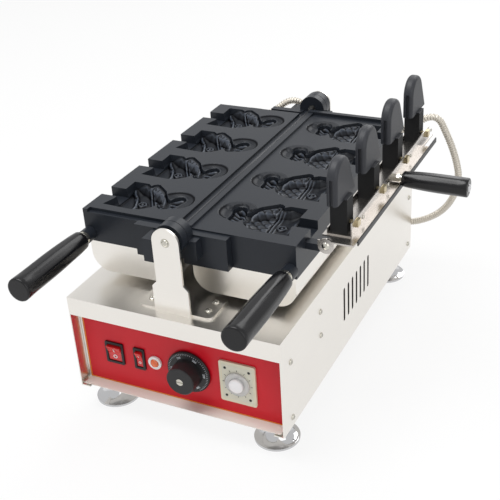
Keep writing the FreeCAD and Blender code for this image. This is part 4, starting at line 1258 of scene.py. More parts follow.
    def _figure(self, u: np.ndarray, v: np.ndarray) -> np.ndarray:
        """Height of the fish's scales, tail, gill and eye."""
        front = self._front(v)
        belly = ramp((u - self.belly[0]) / self.belly[1]) * ramp((front - u) / self.belly_end)
        ribs = 0.5 + 0.5 * np.cos(np.arctan2(v - self.fin[1], self.fin[0] - u) * self.fin_ribs)
        tail = ramp((self.fin_end[0] - u) / self.fin_end[1]) * ribs * self.fin_height
        gill = self.gill_ridge.over(u - front) + self._cheek(u - front, v)
        reach = np.hypot(u - self.eye[0], v - self.eye[1])
        scales = self._scales(u, v) * belly
        return scales + tail + gill + self.eye_ring.over(reach) + self.pupil.over(reach)

    def _scales(self, u: np.ndarray, v: np.ndarray) -> np.ndarray:
        """Rows of round scales that overlap towards the tail."""
        narrow_u, narrow_v, low, sharp = 1.75, 1.9, 0.55, 4
        best = np.zeros(u.shape)
        long = self.scale_long * 2
        for shift in (0, 1):
            row_u = np.round((u - shift * self.scale_long) / long) * long + shift * self.scale_long
            offset = shift * self.scale_wide / 2
            centre_v = np.round((v - offset) / self.scale_wide) * self.scale_wide + offset
            for step in (-1, 0, 1):
                out_u = (u - row_u - step * long) / self.scale_wide
                out_v = (v - centre_v) / self.scale_wide
                reach = np.hypot(out_u * narrow_u, out_v * narrow_v)
                slope = low + (1 - low) * ramp(0.5 - out_u)
                best = np.maximum(best, np.sqrt(ramp(1 - reach**sharp)) * slope)
        return best * self.scale_height

    def _dish(self, u: np.ndarray, v: np.ndarray, edge: np.ndarray) -> tuple[np.ndarray, ...]:
        """Lining of the shallow dish round the tail.

        Args:
            u: Distance from the hinge line.
            v: Place along the hinge line.
            edge: Distance from the outline.

        Returns:
            Heights above the cavity's flat bottom, creases, and which points belong to it.
        """
        inner, outer, deep = self.dish
        under_deck, lining, least, rim_gap, land = 0.17, 0.1, 0.01, 0.3, 0.5
        plain, shadow, shadow_line = 0.25, 0.6, Ridge(1.0, 1.6, -2.2)
        out_u, out_v = u - self.tail[0], v - self.tail[1]
        reach = np.hypot(out_u, out_v)
        drop = deep * ramp((outer - reach) / (outer - inner)) * self._dish_share(out_u, out_v, reach)
        dark = plain + shadow * shadow_line.over(reach - outer) * ramp(drop)
        lift = self.depth - under_deck + np.minimum(lining - drop, -least)
        return lift, dark, (reach < outer - rim_gap) & (edge < -land)

    @staticmethod
    def _dish_share(out_u: np.ndarray, out_v: np.ndarray, reach: np.ndarray) -> np.ndarray:
        """Share of its depth that the dish keeps, which runs out on the far side."""
        lean, blend, shift = 0.35, 0.5, 0.3
        return 1 - eased(ramp((out_v + lean * out_u) / np.maximum(reach, 1.0) / blend + shift))

    @staticmethod
    def _crease(lift: np.ndarray, edge: np.ndarray) -> np.ndarray:
        """Painted shade at each point, from 0 to 1: how far it lies below what is round it, more near
        the rim.
        """
        plain, gain = 0.25, 1.1
        rim_end, rim_fade, rim_dark = 5.0, 3.0, 0.7
        around = np.zeros(lift.shape)
        steps = (-4, -2, -1, 1, 2, 4)
        for step in steps:
            around += np.roll(lift, step, axis=0) + np.roll(lift, step, axis=1)
        hollow = around / (2 * len(steps)) - lift
        # Painted shade: points near the outline are darkened, for the shadow at the cavity's wall.
        rim = ramp((rim_end - edge) / rim_fade) * rim_dark
        return ramp(plain + hollow * gain) * (1 - rim) + rim

    def _add(
        self,
        made: bmesh.types.BMesh,
        machine: Machine,
        grid: tuple[np.ndarray, ...],
        inside: np.ndarray,
        row: float,
    ) -> None:
        """Add one fish's floor with its sides.

        Args:
            made: Mesh that grows.
            machine: Shared places.
            grid: Distances from the hinge line, places along it, heights and creases.
            inside: Which grid points belong to the floor.
            row: Place of this fish along the hinge line.
        """
        u, v, lift, crease = grid
        clearance = 0.02
        layer = made.verts.layers.float.get("crease") or made.verts.layers.float.new("crease")
        base = machine.hinge.z / MM - self.depth + clearance
        top: dict[tuple[int, int], bmesh.types.BMVert] = {}
        low: dict[tuple[int, int], bmesh.types.BMVert] = {}
        for i, j in zip(*np.nonzero(inside)):
            x, y = self.side * u[i, j], row + v[i, j]
            top[(i, j)] = made.verts.new(machine.at(x, y, base + lift[i, j]))
            top[(i, j)][layer] = crease[i, j]
        sides: dict[tuple[Any, Any], int] = {}
        for i, j in list(top):
            cell = ((i, j), (i + 1, j), (i + 1, j + 1), (i, j + 1))
            if not all(corner in top for corner in cell):
                continue
            made.faces.new([top[corner] for corner in cell])
            for near, far in zip(cell, cell[1:] + cell[:1]):
                key = (near, far) if near < far else (far, near)
                sides[key] = sides.get(key, 0) + 1
        for near, far in [key for key, count in sides.items() if count == 1]:
            for corner in (near, far):
                if corner not in low:
                    spot = top[corner].co
                    low[corner] = made.verts.new((spot.x, spot.y, base * MM))
            made.faces.new((top[near], top[far], low[far], low[near]))
        for vertex in [vertex for vertex in top.values() if not vertex.link_faces]:
            made.verts.remove(vertex)


@dataclass(frozen=True)
class MouthRelief(FishRelief):
    """Floors of the left half, where a curved lip leads down to a deeper mouth.

    Attributes:
        scale_line: Distance at which the scales end on the fish's middle, and its slope from there.
        scale_limits: Least and greatest distance of that line.
        lip: Ridge of the lip, for a height of one.
        lip_height: Height of the lip, and what the bank adds.
        mouth_floor: Height of the mouth's floor.
        mouth_shore: Height by which that floor rises at its edge, and over what distance.
        lip_slope: Length over which the floor goes down.
        mouth_stem: Distance at which the stem lies over the mouth, and the greatest height under it.
    """

    scale_line: Spot = (76.7, 0.645)
    scale_limits: Spot = (68.0, 92.0)
    lip: Ridge = Ridge(1.0, 2.6, 1.2)
    lip_height: Spot = (4.8, 8.0)
    mouth_floor: float = -2.6
    mouth_shore: Spot = (6.5, 11.0)
    lip_slope: float = 5.0
    mouth_stem: Spot = (108.0, 1.4)

    def _front(self, v: np.ndarray) -> np.ndarray:
        """Distance at which the scales end."""
        return np.clip(self.scale_line[0] + self.scale_line[1] * v, *self.scale_limits)

    def _cheek(self, gap: np.ndarray, v: np.ndarray) -> np.ndarray:
        """No ridge in front of the gill."""
        return np.zeros(gap.shape)

    @staticmethod
    def _dish_share(out_u: np.ndarray, out_v: np.ndarray, reach: np.ndarray) -> np.ndarray:
        """The dish keeps its depth all round."""
        return np.ones(reach.shape)

    def _bounded(
        self,
        u: np.ndarray,
        v: np.ndarray,
        edge: np.ndarray,
        lift: np.ndarray,
        roof: np.ndarray,
        bank: np.ndarray,
        fade: np.ndarray,
    ) -> np.ndarray:
        """Heights with the lip and the mouth.

        Args:
            u: Distance from the hinge line.
            v: Place along the hinge line.
            edge: Distance from the outline.
            lift: Heights as shaped.
            roof: Greatest heights.
            bank: Share of the bank, faded at the edge.
            fade: Share of the relief by the distance from the edge.

        Returns:
            Heights in millimetres.
        """
        gap = np.interp(v, MOUTH_ALONG, MOUTH_OUT) - u
        rim = (self.lip_height[0] * fade + self.lip_height[1] * bank) * self.lip.over(gap)
        rise, reach = self.mouth_shore
        mouth = self.mouth_floor + rise * ramp(1 - edge / reach) ** 2
        share = eased(ramp(0.5 + gap / self.lip_slope))
        lift = np.maximum(lift * share + mouth * (1 - share), rim)
        deep = u > np.interp(v, STEP_ALONG, STEP_OUT)
        stem_from, stem_roof = self.mouth_stem
        roof = np.where((u > stem_from) & (np.abs(v) < self.stem[1]), stem_roof, roof)
        return np.clip(lift, np.where(deep, self.mouth_floor, self.least), roof)


RELIEFS = (
    MouthRelief("left", -1, eye=(94.5, 0.5), roof=5.6, bank_height=7.0),
    FishRelief("right", 1, eye=(105.5, 0.5), roof=8.0, bank_height=4.0),
)


@dataclass(frozen=True)
class Housing:
    """Sheet base with its feet, brackets and screws, in millimetres.

    Attributes:
        side_screw: Head of a screw in a side wall.
        bracket_screw: Head of a screw in a bracket's foot.
        pin_end: Rounded end of a hinge pin.
        screw_places: Place along the depth and height above the ground of each side screw.
        bracket_sheet: Thickness of the bracket's foot.
        bracket_inset: Distance of its screws from the ends of their row.
        bracket_step: Distance between the screws of one row.
        bracket_turn: Turn of the first screw's recess, in radians.
    """

    side_screw: ScrewHead = ScrewHead(4.2, 2.2, 2.1)
    bracket_screw: ScrewHead = ScrewHead(4.8, 2.6, 2.4)
    pin_end: ScrewHead = ScrewHead(4.6, 2.4, 1.84)
    screw_places: tuple[Spot, ...] = (
        (-229.6, 133.0),
        (-229.6, 49.0),
        (-133.0, 146.0),
        (-133.0, 110.0),
        (242.5, 133.0),
        (242.5, 49.0),
    )
    bracket_sheet: float = 3.0
    bracket_inset: float = 4.6
    bracket_step: float = 20.0
    bracket_turn: float = 0.4

    def build(self, machine: Machine) -> None:
        """Dress the base and add its screws.

        Args:
            machine: Shared places.
        """
        feet = [f"foot_{row}_{side}" for row in ("front", "rear") for side in ("left", "right")]
        machine.dress(STEEL_Y, "housing_cover", "bottom_plate")
        machine.dress(STEEL_X, "front_panel", "rear_panel", "hinge_bracket_front", "hinge_bracket_rear")
        machine.dress(CHROME, *feet)
        machine.dress(HARDWARE, "foot_bolts", "hinge_pins", "hinge_spacers", "bracket_screws")
        machine.dress(BLACK, "terminal_block", "power_inlet", "right_rear_elbow", "left_rear_elbow")
        low, high = corners("housing_cover")
        spots = []
        for y, z in self.screw_places:
            for side, x in ((-1, low.x), (1, high.x)):
                place = machine.at(0, y, z)
                spots.append(((x, place.y, place.z), (0.0, side * QUARTER, 0.0)))
        screws = machine.repeat.build("side_screws", self.side_screw.mesh(), spots, HARDWARE, True)
        settle(screws, "base", "hardware")
        self._bracket_screws(machine)
        self._pin_ends(machine)

    def _bracket_screws(self, machine: Machine) -> None:
        """Round cross-headed screws on the feet of the hinge brackets."""
        low, high = corners("bracket_screws")
        bottom = corners("hinge_bracket_front")[0].z + self.bracket_sheet * MM
        inset = self.bracket_inset * MM
        step = self.bracket_step * MM
        spots = []
        for x in (low.x + inset, high.x - inset):
            for y, way in ((low.y + inset, 1), (high.y - inset, -1)):
                for share in (0, 1):
                    turn = (0.0, 0.0, self.bracket_turn + share)
                    spots.append(((x, y + way * share * step, bottom), turn))
        head = self.bracket_screw.mesh()
        screws = machine.repeat.build("bracket_pan_screws", head, spots, HARDWARE, True)
        settle(screws, "base", "hardware", "bracket_screws")

    def _pin_ends(self, machine: Machine) -> None:
        """Rounded ends of the hinge pins."""
        low, high = corners("hinge_pins")
        spots = []
        for y, side in ((low.y, 1), (high.y, -1)):
            spots.append(((machine.hinge.x, y, machine.hinge.z), (side * QUARTER, 0.0, 0.0)))
        ends = machine.repeat.build("hinge_pin_ends", self.pin_end.mesh(), spots, HARDWARE, True)
        settle(ends, "base", "hardware")


@dataclass(frozen=True)
class HandGrip:
    """Hand grip with a waisted start, soft flats and a flat end.

    Attributes:
        node: Node that it stands for.
        body: Body that it rides on.
        axis: Direction from its start to its end.
        neck: Radius at its start, as a share of the full radius.
        swell: Rate at which the neck widens, and the power that rounds it.
        edge: Rounding of its ends in millimetres.
        flats: Number of soft flats.
        sunk: Depth of a flat, as a share of the radius.
        flat_start: One over the share of the length at which the flats start.
        flat_end: The same from the end.
        rings: Rings along the grip.
        sides: Sides of a ring.
    """

    node: str
    body: str
    axis: Point
    neck: float = 0.8
    swell: Spot = (1.7, 0.8)
    edge: float = 1.6
    flats: int = 8
    sunk: float = 0.035
    flat_start: float = 8.0
    flat_end: float = 14.0
    rings: int = 24
    sides: int = 64

    def build(self) -> bpy.types.Object:
        """Make the grip in place of its node."""
        low, high = corners(self.node)
        way = Vector(self.axis)
        middle = (low + high) / 2
        long = abs((high - low).dot(way))
        mesh = spun(self._profile((high.z - low.z) / 2, long), self.sides)
        for vertex in mesh.vertices:
            along = vertex.co.z / long
            share = min(along * self.flat_start - 1, (1 - along) * self.flat_end - 1)
            turn = math.atan2(vertex.co.y, vertex.co.x)
            wave = 0.5 + 0.5 * math.cos(self.flats * turn)
            sink = 1 - self.sunk * min(1.0, max(0.0, share)) * wave
            vertex.co.x *= sink
            vertex.co.y *= sink
        turned = Vector((0, 0, 1)).rotation_difference(way).to_matrix().to_4x4()
        mesh.transform(Matrix.Translation(middle - way * long / 2) @ turned)
        piece = new_object(f"{self.node}_moulded", mesh, GRIP, True)
        return settle(piece, self.body, "black_plastic", self.node)

    def _profile(self, radius: float, long: float) -> list[Spot]:
        """Radius and height of the rings from start to end."""
        edge = self.edge * MM
        rate, power = self.swell
        rings = [(radius * self.neck - edge, 0.0), (radius * self.neck, edge)]
        for step in range(1, self.rings):
            share = step / self.rings
            swell = self.neck + (1 - self.neck) * math.sin(min(1.0, share * rate) * QUARTER) ** power
            rings.append((radius * swell, edge + (long - 2 * edge) * share))
        for inset, rise in ((0.0, 1.0), (0.3, 0.3), (1.0, 0.0), (1.6, 0.0)):
            rings.append((radius - edge * inset, long - edge * rise))
        return rings


@dataclass(frozen=True)
class Halves:
    """The two hinged castings with covers, handles and fittings.

    Attributes:
        ledge: Corners of the inner ledge, from the hinge line, in millimetres.
        ledge_end: Distance of the ledge from the casting's ends.
        rod_radius: Radius of the rod on the hinge line.
        rod_sides: Sides of the rod.
    """

    ledge: tuple[Spot, ...] = (
        (-12.0, -3.5),
        (-6.6, -3.5),
        (-5.8, -4.3),
        (-5.8, -16.0),
        (-12.0, -16.0),
    )
    ledge_end: float = 16.0
    rod_radius: float = 2.4
    rod_sides: int = 24

    def build(self, machine: Machine) -> None:
        """Dress both halves and line their cavities.

        Args:
            machine: Shared places.
        """
        for relief in RELIEFS:
            name = relief.name
            machine.dress(COATING, f"{name}_mould")
            machine.dress(STEEL_Y, f"{name}_cover")
            machine.dress(HARDWARE, f"{name}_heater", f"{name}_handle_stud")
            machine.dress(GRIP, f"{name}_grip")
            HandGrip(f"{name}_grip", f"{name}_half", (0.0, -1.0, 0.0)).build()
            machine.dress(BLACK, f"{name}_half_elbow")
            relief.build(machine)
        machine.dress(HARDWARE, "pivot_screws")
        low, high = corners("left_mould")
        near, far = low.y + self.ledge_end * MM, high.y - self.ledge_end * MM
        self._ledge(machine, near, far)
        self._rod(machine, near, far)

    def _ledge(self, machine: Machine, near: float, far: float) -> None:
        """Ledge along the left casting's inner edge, below its deck.

        Args:
            machine: Shared places.
            near: Where it starts along the hinge line.
            far: Where it ends.
        """
        made = bmesh.new()
        rings = []
        for y in (near, far):
            spots = [(machine.hinge.x + x * MM, y, machine.hinge.z + z * MM) for x, z in self.ledge]
            rings.append([made.verts.new(spot) for spot in spots])
        for n in range(len(self.ledge)):
            after = (n + 1) % len(self.ledge)
            made.faces.new((rings[0][n], rings[0][after], rings[1][after], rings[1][n]))
        made.faces.new(rings[0])
        made.faces.new(rings[1])
        bmesh.ops.recalc_face_normals(made, faces=made.faces)
        ledge = new_object("left_hinge_ledge", settled_mesh(made, "ledge"), COATING)
        settle(ledge, "left_half", "casting")

    def _rod(self, machine: Machine, near: float, far: float) -> None:
        """Rod on the hinge line, between two places along it."""
        radius = self.rod_radius * MM
        rod = spun([(radius, 0.0), (radius, far - near)], self.rod_sides)
        turn = Matrix.Rotation(-QUARTER, 4, "X")
        rod.transform(Matrix.Translation((machine.hinge.x, near, machine.hinge.z)) @ turn)
        settle(new_object("hinge_rod", rod, CORE_COATING, True), "base", "hardware")


@dataclass(frozen=True)
class CoreBar:
    """Swinging bar with its mouth cores, bolts and handle, in millimetres.

    Attributes:
        rail_screw: Head of a screw in the rail.
        rows: Number of cores.
        pitch: Distance between cores.
        screw_shift: Distance of a rail screw from its core, along the bar.
        screw_rise: Height of the rail screws in the channel.
        hood_height: Height of a core's hood above its stem.
        shade_strip: Thickness and height of the strip along the rail's edge.
        shade_strip_end: Distance of the strip from the rail's ends.
        shade_strip_out: Place of its middle outside the rail, as a share of its thickness.
        shade_strip_rise: Height of its top above the channel's foot.
        cap: Head of the screw in the handle's end.
    """

    rail_screw: ScrewHead = ScrewHead(2.6, 1.6, 1.3)
    rows: int = 4
    pitch: float = 95.0
    screw_shift: float = 24.0
    screw_rise: float = 9.0
    hood_height: float = 53.0
    # A black strip stands in for the shadow under the rail plate's edge: painted shade.
    shade_strip: Spot = (1.6, 7.0)
    shade_strip_end: float = 12.0
    shade_strip_out: float = 0.3
    shade_strip_rise: float = 0.5
    cap: ScrewHead = ScrewHead(5.5, 2.2, 2.75)

    def build(self, machine: Machine) -> None:
        """Dress the bar and add its screws and its black strip of painted shade.

        Args:
            machine: Shared places.
        """
        machine.dress(RAIL, "rail_plate", "core_channel")
        stem_top = corners("mouth_core_1")[1].z - self.hood_height * MM
        cores = [f"mouth_core_{n + 1}" for n in range(self.rows)]
        machine.dress(PAINTS.core(CORE_COATING, stem_top), *cores)
        machine.dress(BRASS, "core_bolts")
        machine.dress(HARDWARE, "bar_handle_stud")
        machine.dress(GRIP, "bar_grip")
        HandGrip("bar_grip", "core_bar", (1.0, 0.0, 0.0)).build()
        low, high = corners("core_channel")
        sideways = (0.0, QUARTER, 0.0)
        spots = []
        for row in range(self.rows):
            y = machine.at(0, self.pitch * (row - (self.rows - 1) / 2) + self.screw_shift, 0).y
            spots.append(((high.x, y, low.z + self.screw_rise * MM), sideways))
        screws = machine.repeat.build("rail_screws", self.rail_screw.mesh(), spots, HARDWARE, True)
        settle(screws, "core_bar", "hardware")
        self._shade_strip(machine, low.z)
        grip_low, grip_high = corners("bar_grip")
        middle = (grip_low + grip_high) / 2
        end = (grip_high.x, middle.y, middle.z)
        cap = machine.repeat.build("bar_grip_screw", self.cap.mesh(), [(end, sideways)], CHROME, True)
        settle(cap, "core_bar", "hardware")

    def _shade_strip(self, machine: Machine, foot: float) -> None:
        """Black strip of painted shade along the outer edge of the rail plate.

        Args:
            machine: Shared places.
            foot: Height of the channel's foot.
        """
        low, high = corners("rail_plate")
        thick, tall = (size * MM for size in self.shade_strip)
        strip = block((thick, high.y - low.y - 2 * self.shade_strip_end * MM, tall))
        x = high.x + thick * self.shade_strip_out
        place = (x, (low.y + high.y) / 2, foot + self.shade_strip_rise * MM - tall / 2)
        shade_strip = machine.repeat.build("rail_seal", strip, [(place, STRAIGHT)], BLACK)
        settle(shade_strip, "core_bar", "black_plastic")


def on_circle(centre: Vector, reach: float, turn: float, y: float) -> Point:
    """Place on an upright circle seen from the front, turned clockwise from its top."""
    return (centre.x + reach * math.sin(turn), y, centre.z + reach * math.cos(turn))


@dataclass(frozen=True)
class Mark:
    """Mark on one half of a rocker's face.

    Attributes:
        text: What it says.
        forward: Distance in front of the pivot in millimetres.
        rise: Height above the pivot in millimetres.
        lean: Lean of that half of the face, in degrees.
    """

    text: str
    forward: float
    rise: float
    lean: float


@dataclass(frozen=True)
class Controls:
    """Switches, lamp, thermostat dial and timer on the front panel, in millimetres.

    Attributes:
        marks: Marks on a rocker.
        mark_size: Height of a full-sized mark.
        mark_shares: Size of each switch's marks beside the full size.
        ticks: Ticks round the thermostat dial.
        tick_sweep: Angle that they cover, in degrees.
        tick: Width, thickness and length of a tick.
        tick_inset: Distance of the ticks from the dial's rim.
        skirt: Thickness of the dial's skirt, up to the ticks.
        numbers: Figures on the dial.
        number_size: Height of a figure.
        number_inset: Distance of the figures from the dial's rim.
        number_out: How far the figures stand in front of the ticks' middle.
        label_margin: Distance of the label's line from its edge.
        label_line: Width of that line.
        label_gap: Height of the label's lower edge above the bottom plate.
        sill: Thickness of the strip in front of the label.
        sill_rise: Height of its middle above the label's edge.
        sill_back: Distance of its front from the housing's.
        field: Width, thickness and height of the timer's field.
        field_back: Distance of the field behind the knob's front.
        hours: Ticks round the timer.
        hour: Width, thickness and length of one.
        hour_out: Distance of the ticks from the knob.
        hour_front: How far they stand in front of the field's middle.
        corner: Place of a corner screw from the timer's middle.
        corner_front: How far the corner screws stand in front of the field's middle.
        corner_screw: Head of a corner screw.
    """

    marks: tuple[Mark, ...] = (Mark("I", 4.35, 4.6, 21.5), Mark("O", 1.9, -6.2, 2.5))
    mark_size: float = 8.5
    mark_shares: tuple[tuple[str, float], ...] = (("main_switch", 0.95), ("timer_switch", 0.6))
    ticks: int = 51
    tick_sweep: float = 290.0
    tick: Point = (0.45, 0.5, 2.4)
    tick_inset: float = 3.2
    skirt: float = 3.1
    numbers: tuple[str, ...] = ("50", "100", "150", "200", "250", "300")
    number_size: float = 4.2
    number_inset: float = 7.4
    number_out: float = 0.6
    label_margin: float = 2.0
    label_line: float = 1.1
    label_gap: float = 1.2
    sill: float = 0.5
    sill_rise: float = 0.2
    sill_back: float = 0.4
    field: Point = (42.0, 0.8, 52.0)
    field_back: float = 9.3
    hours: int = 12
    hour: Point = (0.6, 0.5, 2.6)
    hour_out: float = 2.6
    hour_front: float = 0.5
    corner: Spot = (16.5, 21.0)
    corner_front: float = 0.4
    corner_screw: ScrewHead = ScrewHead(1.9, 0.9, 1.1)

    def build(self, machine: Machine) -> None:
        """Dress the controls and mark them.

        Args:
            machine: Shared places.
        """
        machine.dress(BLACK, "main_switch_body", "timer_switch_body")
        machine.dress(BLACK, "thermostat_body", "thermostat_dial")
        machine.dress(RED, "main_switch_rocker", "timer_switch_rocker")
        machine.dress(WHITE, "lamp_bezel")
        machine.dress(PAINTS.lens(), "lamp_lens")
        machine.dress(HARDWARE, "dial_screw")
        machine.dress(IVORY, "timer_body")
        machine.dress(CLEAR, "timer_knob")
        for name, share in self.mark_shares:
            self._switch_marks(machine, name, share)
        self._dial_marks(machine)
        self._timer_face(machine)
        self._timer_knob()
        self._label(machine)

    def _label(self, machine: Machine) -> None:
        """Finish of the label sheet, its lower edge, and the strip of the housing in front of it."""
        low, high = corners("panel_label")
        middle = (low + high) / 2
        bottom = corners("bottom_plate")[1].z + self.label_gap * MM
        sheet = Vector((low.x, low.y, bottom))
        paint = PAINTS.label(sheet, high, self.label_margin * MM, self.label_line * MM)
        machine.dress(paint, "panel_label")
        foot = block((high.x - low.x, high.y - low.y, low.z - bottom), 0.0)
        foot.transform(Matrix.Translation((middle.x, middle.y, (low.z + bottom) / 2)))
        foot.materials.append(paint)
        settle(new_object("label_foot", foot, None), "base", "label")
        front = corners("housing_cover")[0].y + self.sill_back * MM
        sill = block((high.x - low.x, low.y - front, self.sill * MM))
        height = bottom + self.sill_rise * MM
        sill.transform(Matrix.Translation((middle.x, (low.y + front) / 2, height)))
        settle(new_object("front_sill", sill, SILL), "base", "steel")

    def _switch_marks(self, machine: Machine, name: str, share: float) -> None:
        """Stroke and ring on the two halves of a rocker's face.

        Args:
            machine: Shared places.
            name: Name of the switch.
            share: Size of the marks beside the full size.
        """
        pivot = machine.joint(f"{name}_press")
        size = self.mark_size * share * MM
        made = []
        for mark in self.marks:
            spot = pivot + Vector((0.0, -mark.forward * MM, mark.rise * MM))
            turn = Matrix.Rotation(math.radians(90 + mark.lean), 4, "X")
            place = Matrix.Translation(spot) @ turn
            made.append(lettering(f"{name}_{mark.text}", mark.text, size, place, WHITE))
        settle(joined(f"{name}_marks", made, WHITE), f"{name}_rocker", "red_plastic")

    def _dial_marks(self, machine: Machine) -> None:
        """Ticks and figures on the skirt of the thermostat dial."""
        low, high = corners("thermostat_dial")
        centre = (low + high) / 2
        radius = (high.x - low.x) / 2
        face = high.y - self.skirt * MM
        spots = []
        for tick in range(self.ticks):
            turn = math.radians(self.tick_sweep * (tick / (self.ticks - 1) - 0.5))
            spot = on_circle(centre, radius - self.tick_inset * MM, turn, face)
            spots.append((spot, (0.0, turn, 0.0)))
        bar = block(tuple(size * MM for size in self.tick))
        parts = [machine.repeat.build("dial_ticks", bar, spots, GREY_PRINT)]
        for n, text in enumerate(self.numbers):
            turn = math.radians(self.tick_sweep * (n / (len(self.numbers) - 1) - 0.5))
            spot = on_circle(centre, radius - self.number_inset * MM, turn, face - self.number_out * MM)
            lean = Matrix.Rotation(QUARTER, 4, "X") @ Matrix.Rotation(-turn, 4, "Z")
            place = Matrix.Translation(spot) @ lean
            parts.append(lettering(f"figure_{text}", text, self.number_size * MM, place, GREY_PRINT))
        settle(joined("dial_marks", parts, GREY_PRINT), "thermostat_dial", "black_plastic")

    def _timer_face(self, machine: Machine) -> None:
        """Field, ticks and corner screws round the timer's knob."""
        low, high = corners("timer_body")
        centre = (low + high) / 2
        knob_low, knob_high = corners("timer_knob")
        reach = (knob_high.x - knob_low.x) / 2 + self.hour_out * MM
        front = knob_low.y + self.field_back * MM
        plate = block(tuple(size * MM for size in self.field))
        middle = [((centre.x, front, centre.z), STRAIGHT)]
        spots = []
        for tick in range(self.hours):
            turn = math.tau * tick / self.hours
            spot = on_circle(centre, reach, turn, front - self.hour_front * MM)
            spots.append((spot, (0.0, turn, 0.0)))
        bar = block(tuple(size * MM for size in self.hour))
        screws = []
        for z in (-self.corner[1], self.corner[1]):
            for x in (-self.corner[0], self.corner[0]):
                spot = (centre.x + x * MM, front - self.corner_front * MM, centre.z + z * MM)
                screws.append((spot, (QUARTER, 0.0, 0.0)))
        head = self.corner_screw.mesh()
        field = machine.repeat.build("timer_field", plate, middle, DIAL_FACE)
        ticks = machine.repeat.build("timer_ticks", bar, spots, BLACK)
        heads = machine.repeat.build("timer_corner_screws", head, screws, BLACK, True)
        for piece in (field, ticks, heads):
            settle(piece, "base", "timer_plastic")

    @staticmethod
    def _timer_knob() -> None:
        """Clear disc and pale dome of the timer, in place of its plain knob."""
        disc_share, shoulder, foot_share, dome_share, tip = 0.45, 0.7, 0.6, 0.58, 0.02
        steps, disc_sides, dome_sides = 6, 48, 40
        low, high = corners("timer_knob")
        middle = (low + high) / 2
        radius = (high.x - low.x) / 2
        long = high.y - low.y
        place = Matrix.Translation((middle.x, high.y, middle.z)) @ Matrix.Rotation(QUARTER, 4, "X")
        edge = 0.8 * MM
        thick = long * disc_share
        disc = [(radius - edge, 0.0), (radius, edge), (radius, thick - edge), (radius - edge, thick)]
        dome = [(radius * foot_share, thick), (radius * dome_share, long * shoulder)]
        for step in range(1, steps + 1):
            lean = step / steps * QUARTER
            height = shoulder + (1 - shoulder) * math.sin(lean)
            dome.append((radius * (dome_share * math.cos(lean) + tip), long * height))
        disc_mesh, dome_mesh = spun(disc, disc_sides), spun(dome, dome_sides)
        for mesh in (disc_mesh, dome_mesh):
            mesh.transform(place)
        settle(new_object("timer_disc", disc_mesh, CLEAR), "timer_knob", "timer_plastic", "timer_knob")
        settle(new_object("timer_dome", dome_mesh, PALE, True), "timer_knob", "timer_plastic")


@dataclass(frozen=True)
class Lamp:
    """Square soft light that points at the object, in metres and watts.

    Attributes:
        name: Name of the light.
        place: Where it hangs.
        size: Length of its side.
        power: Its power.
        aim: Point that it shines at.
    """

    name: str
    place: Point
    size: float
    power: float
    aim: Point = (0.0, 0.0, 0.2)

    def build(self) -> None:
        """Hang the light."""
        light = bpy.data.lights.new(self.name, "AREA")
        light.size = self.size
        light.energy = self.power
        lamp = linked(self.name, light)
        lamp.location = self.place
        way = Vector(self.aim) - Vector(self.place)
        lamp.rotation_euler = way.to_track_quat("-Z", "Y").to_euler()


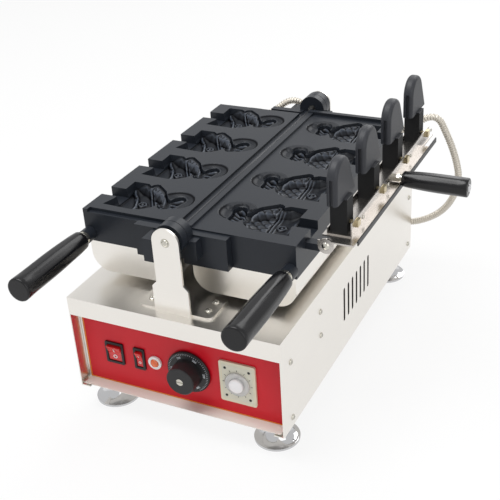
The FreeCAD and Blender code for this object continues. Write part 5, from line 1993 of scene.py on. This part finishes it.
@dataclass(frozen=True)
class Studio:
    """White floor, soft lights and the camera of the photograph.

    Attributes:
        place: Camera in millimetres from the hinge line's middle on the ground.
        yaw: Turn about the vertical, in degrees.
        pitch: Tilt down, in degrees.
        roll: Tilt about the view, in degrees.
        focal: Focal length in pixels of the picture.
        picture: Width of the picture in pixels.
        lamps: The soft lights.
        floor_size: Half the floor's width in metres.
        paper: Darker and lighter grey of the floor.
        paper_cloud: Patches of grey per metre.
        paper_glow: Share of the floor that stays white where it is seen.
        dim: Strength of the surroundings as light, beside one as a background.
    """

    place: Point = (541.6, -1072.3, 809.8)
    yaw: float = 27.40
    pitch: float = 29.21
    roll: float = -3.73
    focal: float = 948.4
    picture: float = 500.0
    lamps: tuple[Lamp, ...] = (
        Lamp("key", (-0.7, -0.5, 2.6), 1.5, 46.0),
        Lamp("fill", (2.1, -1.2, 1.3), 2.2, 18.0),
        Lamp("back", (0.3, 2.2, 1.8), 1.8, 26.0),
    )
    floor_size: float = 30.0
    paper: Spot = (0.86, 0.9)
    paper_cloud: float = 0.6
    paper_glow: float = 0.84
    dim: float = 0.55

    def build(self, machine: Machine) -> None:
        """Make the floor, the lights and the camera.

        Args:
            machine: Shared places.
        """
        bpy.context.scene.view_settings.view_transform = "Standard"
        self._camera(machine)
        self._floor()
        self._world()
        for lamp in self.lamps:
            lamp.build()

    def _camera(self, machine: Machine) -> None:
        """Camera at the photograph's place."""
        yaw, pitch, roll = (math.radians(angle) for angle in (self.yaw, self.pitch, self.roll))
        level = math.cos(pitch)
        back = Vector((math.sin(yaw) * level, -math.cos(yaw) * level, math.sin(pitch)))
        right = Vector((math.cos(yaw), math.sin(yaw), 0.0))
        up = back.cross(right)
        tilted_right = right * math.cos(roll) + up * math.sin(roll)
        tilted_up = up * math.cos(roll) - right * math.sin(roll)
        lens = bpy.data.cameras.new("camera")
        lens.sensor_width = 36.0
        lens.lens = self.focal / self.picture * lens.sensor_width
        lens.clip_end = 50.0
        camera = linked("camera", lens)
        turn = Matrix((tilted_right, tilted_up, back)).transposed().to_4x4()
        camera.matrix_world = Matrix.Translation(machine.at(*self.place)) @ turn
        bpy.context.scene.camera = camera

    def _floor(self) -> None:
        """Wide floor that stays white and keeps a faint shadow."""
        made = bmesh.new()
        bmesh.ops.create_grid(made, x_segments=1, y_segments=1, size=self.floor_size)
        mesh = settled_mesh(made, "floor")
        graph = Surface("floor_paper")
        seen = graph.seen()
        cloud = graph.noise((self.paper_cloud,) * 3)
        paper = graph.blend(cloud, *(full((grey,) * 3) for grey in self.paper))
        matt = graph.out("ShaderNodeBsdfDiffuse", {"Color": paper})
        glow = graph.out("ShaderNodeEmission", {"Color": full((1.0,) * 3), "Strength": 1.0})
        mixed = graph.out("ShaderNodeMixShader", {0: seen * self.paper_glow, 1: matt, 2: glow})
        mesh.materials.append(graph.close(mixed))
        linked("floor", mesh)

    def _world(self) -> None:
        """White surroundings, dimmer as light than as a background."""
        world = bpy.data.worlds.new("studio")
        world.use_nodes = True
        graph = Graph(world.node_tree)
        strength = self.dim + graph.seen() * (1 - self.dim)
        glow = graph.out("ShaderNodeBackground", {"Strength": strength})
        graph.node("ShaderNodeOutputWorld", {0: glow})
        bpy.context.scene.world = world


def main() -> None:
    """Build the object round its frame, and the studio."""
    logging.basicConfig(level=logging.INFO, format="%(name)s: %(message)s")
    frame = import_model()
    machine = Machine.of(frame)
    Studio().build(machine)
    for hose in (RIGHT_HOSE, LEFT_HOSE):
        hose.build(machine)
    Housing().build(machine)
    Halves().build(machine)
    CoreBar().build(machine)
    Controls().build(machine)
    for name, node in frame["nodes"].items():
        LOG.info("node %s has %s", name, [paint.name for paint in node.data.materials])


if __name__ == "__main__":
    main()
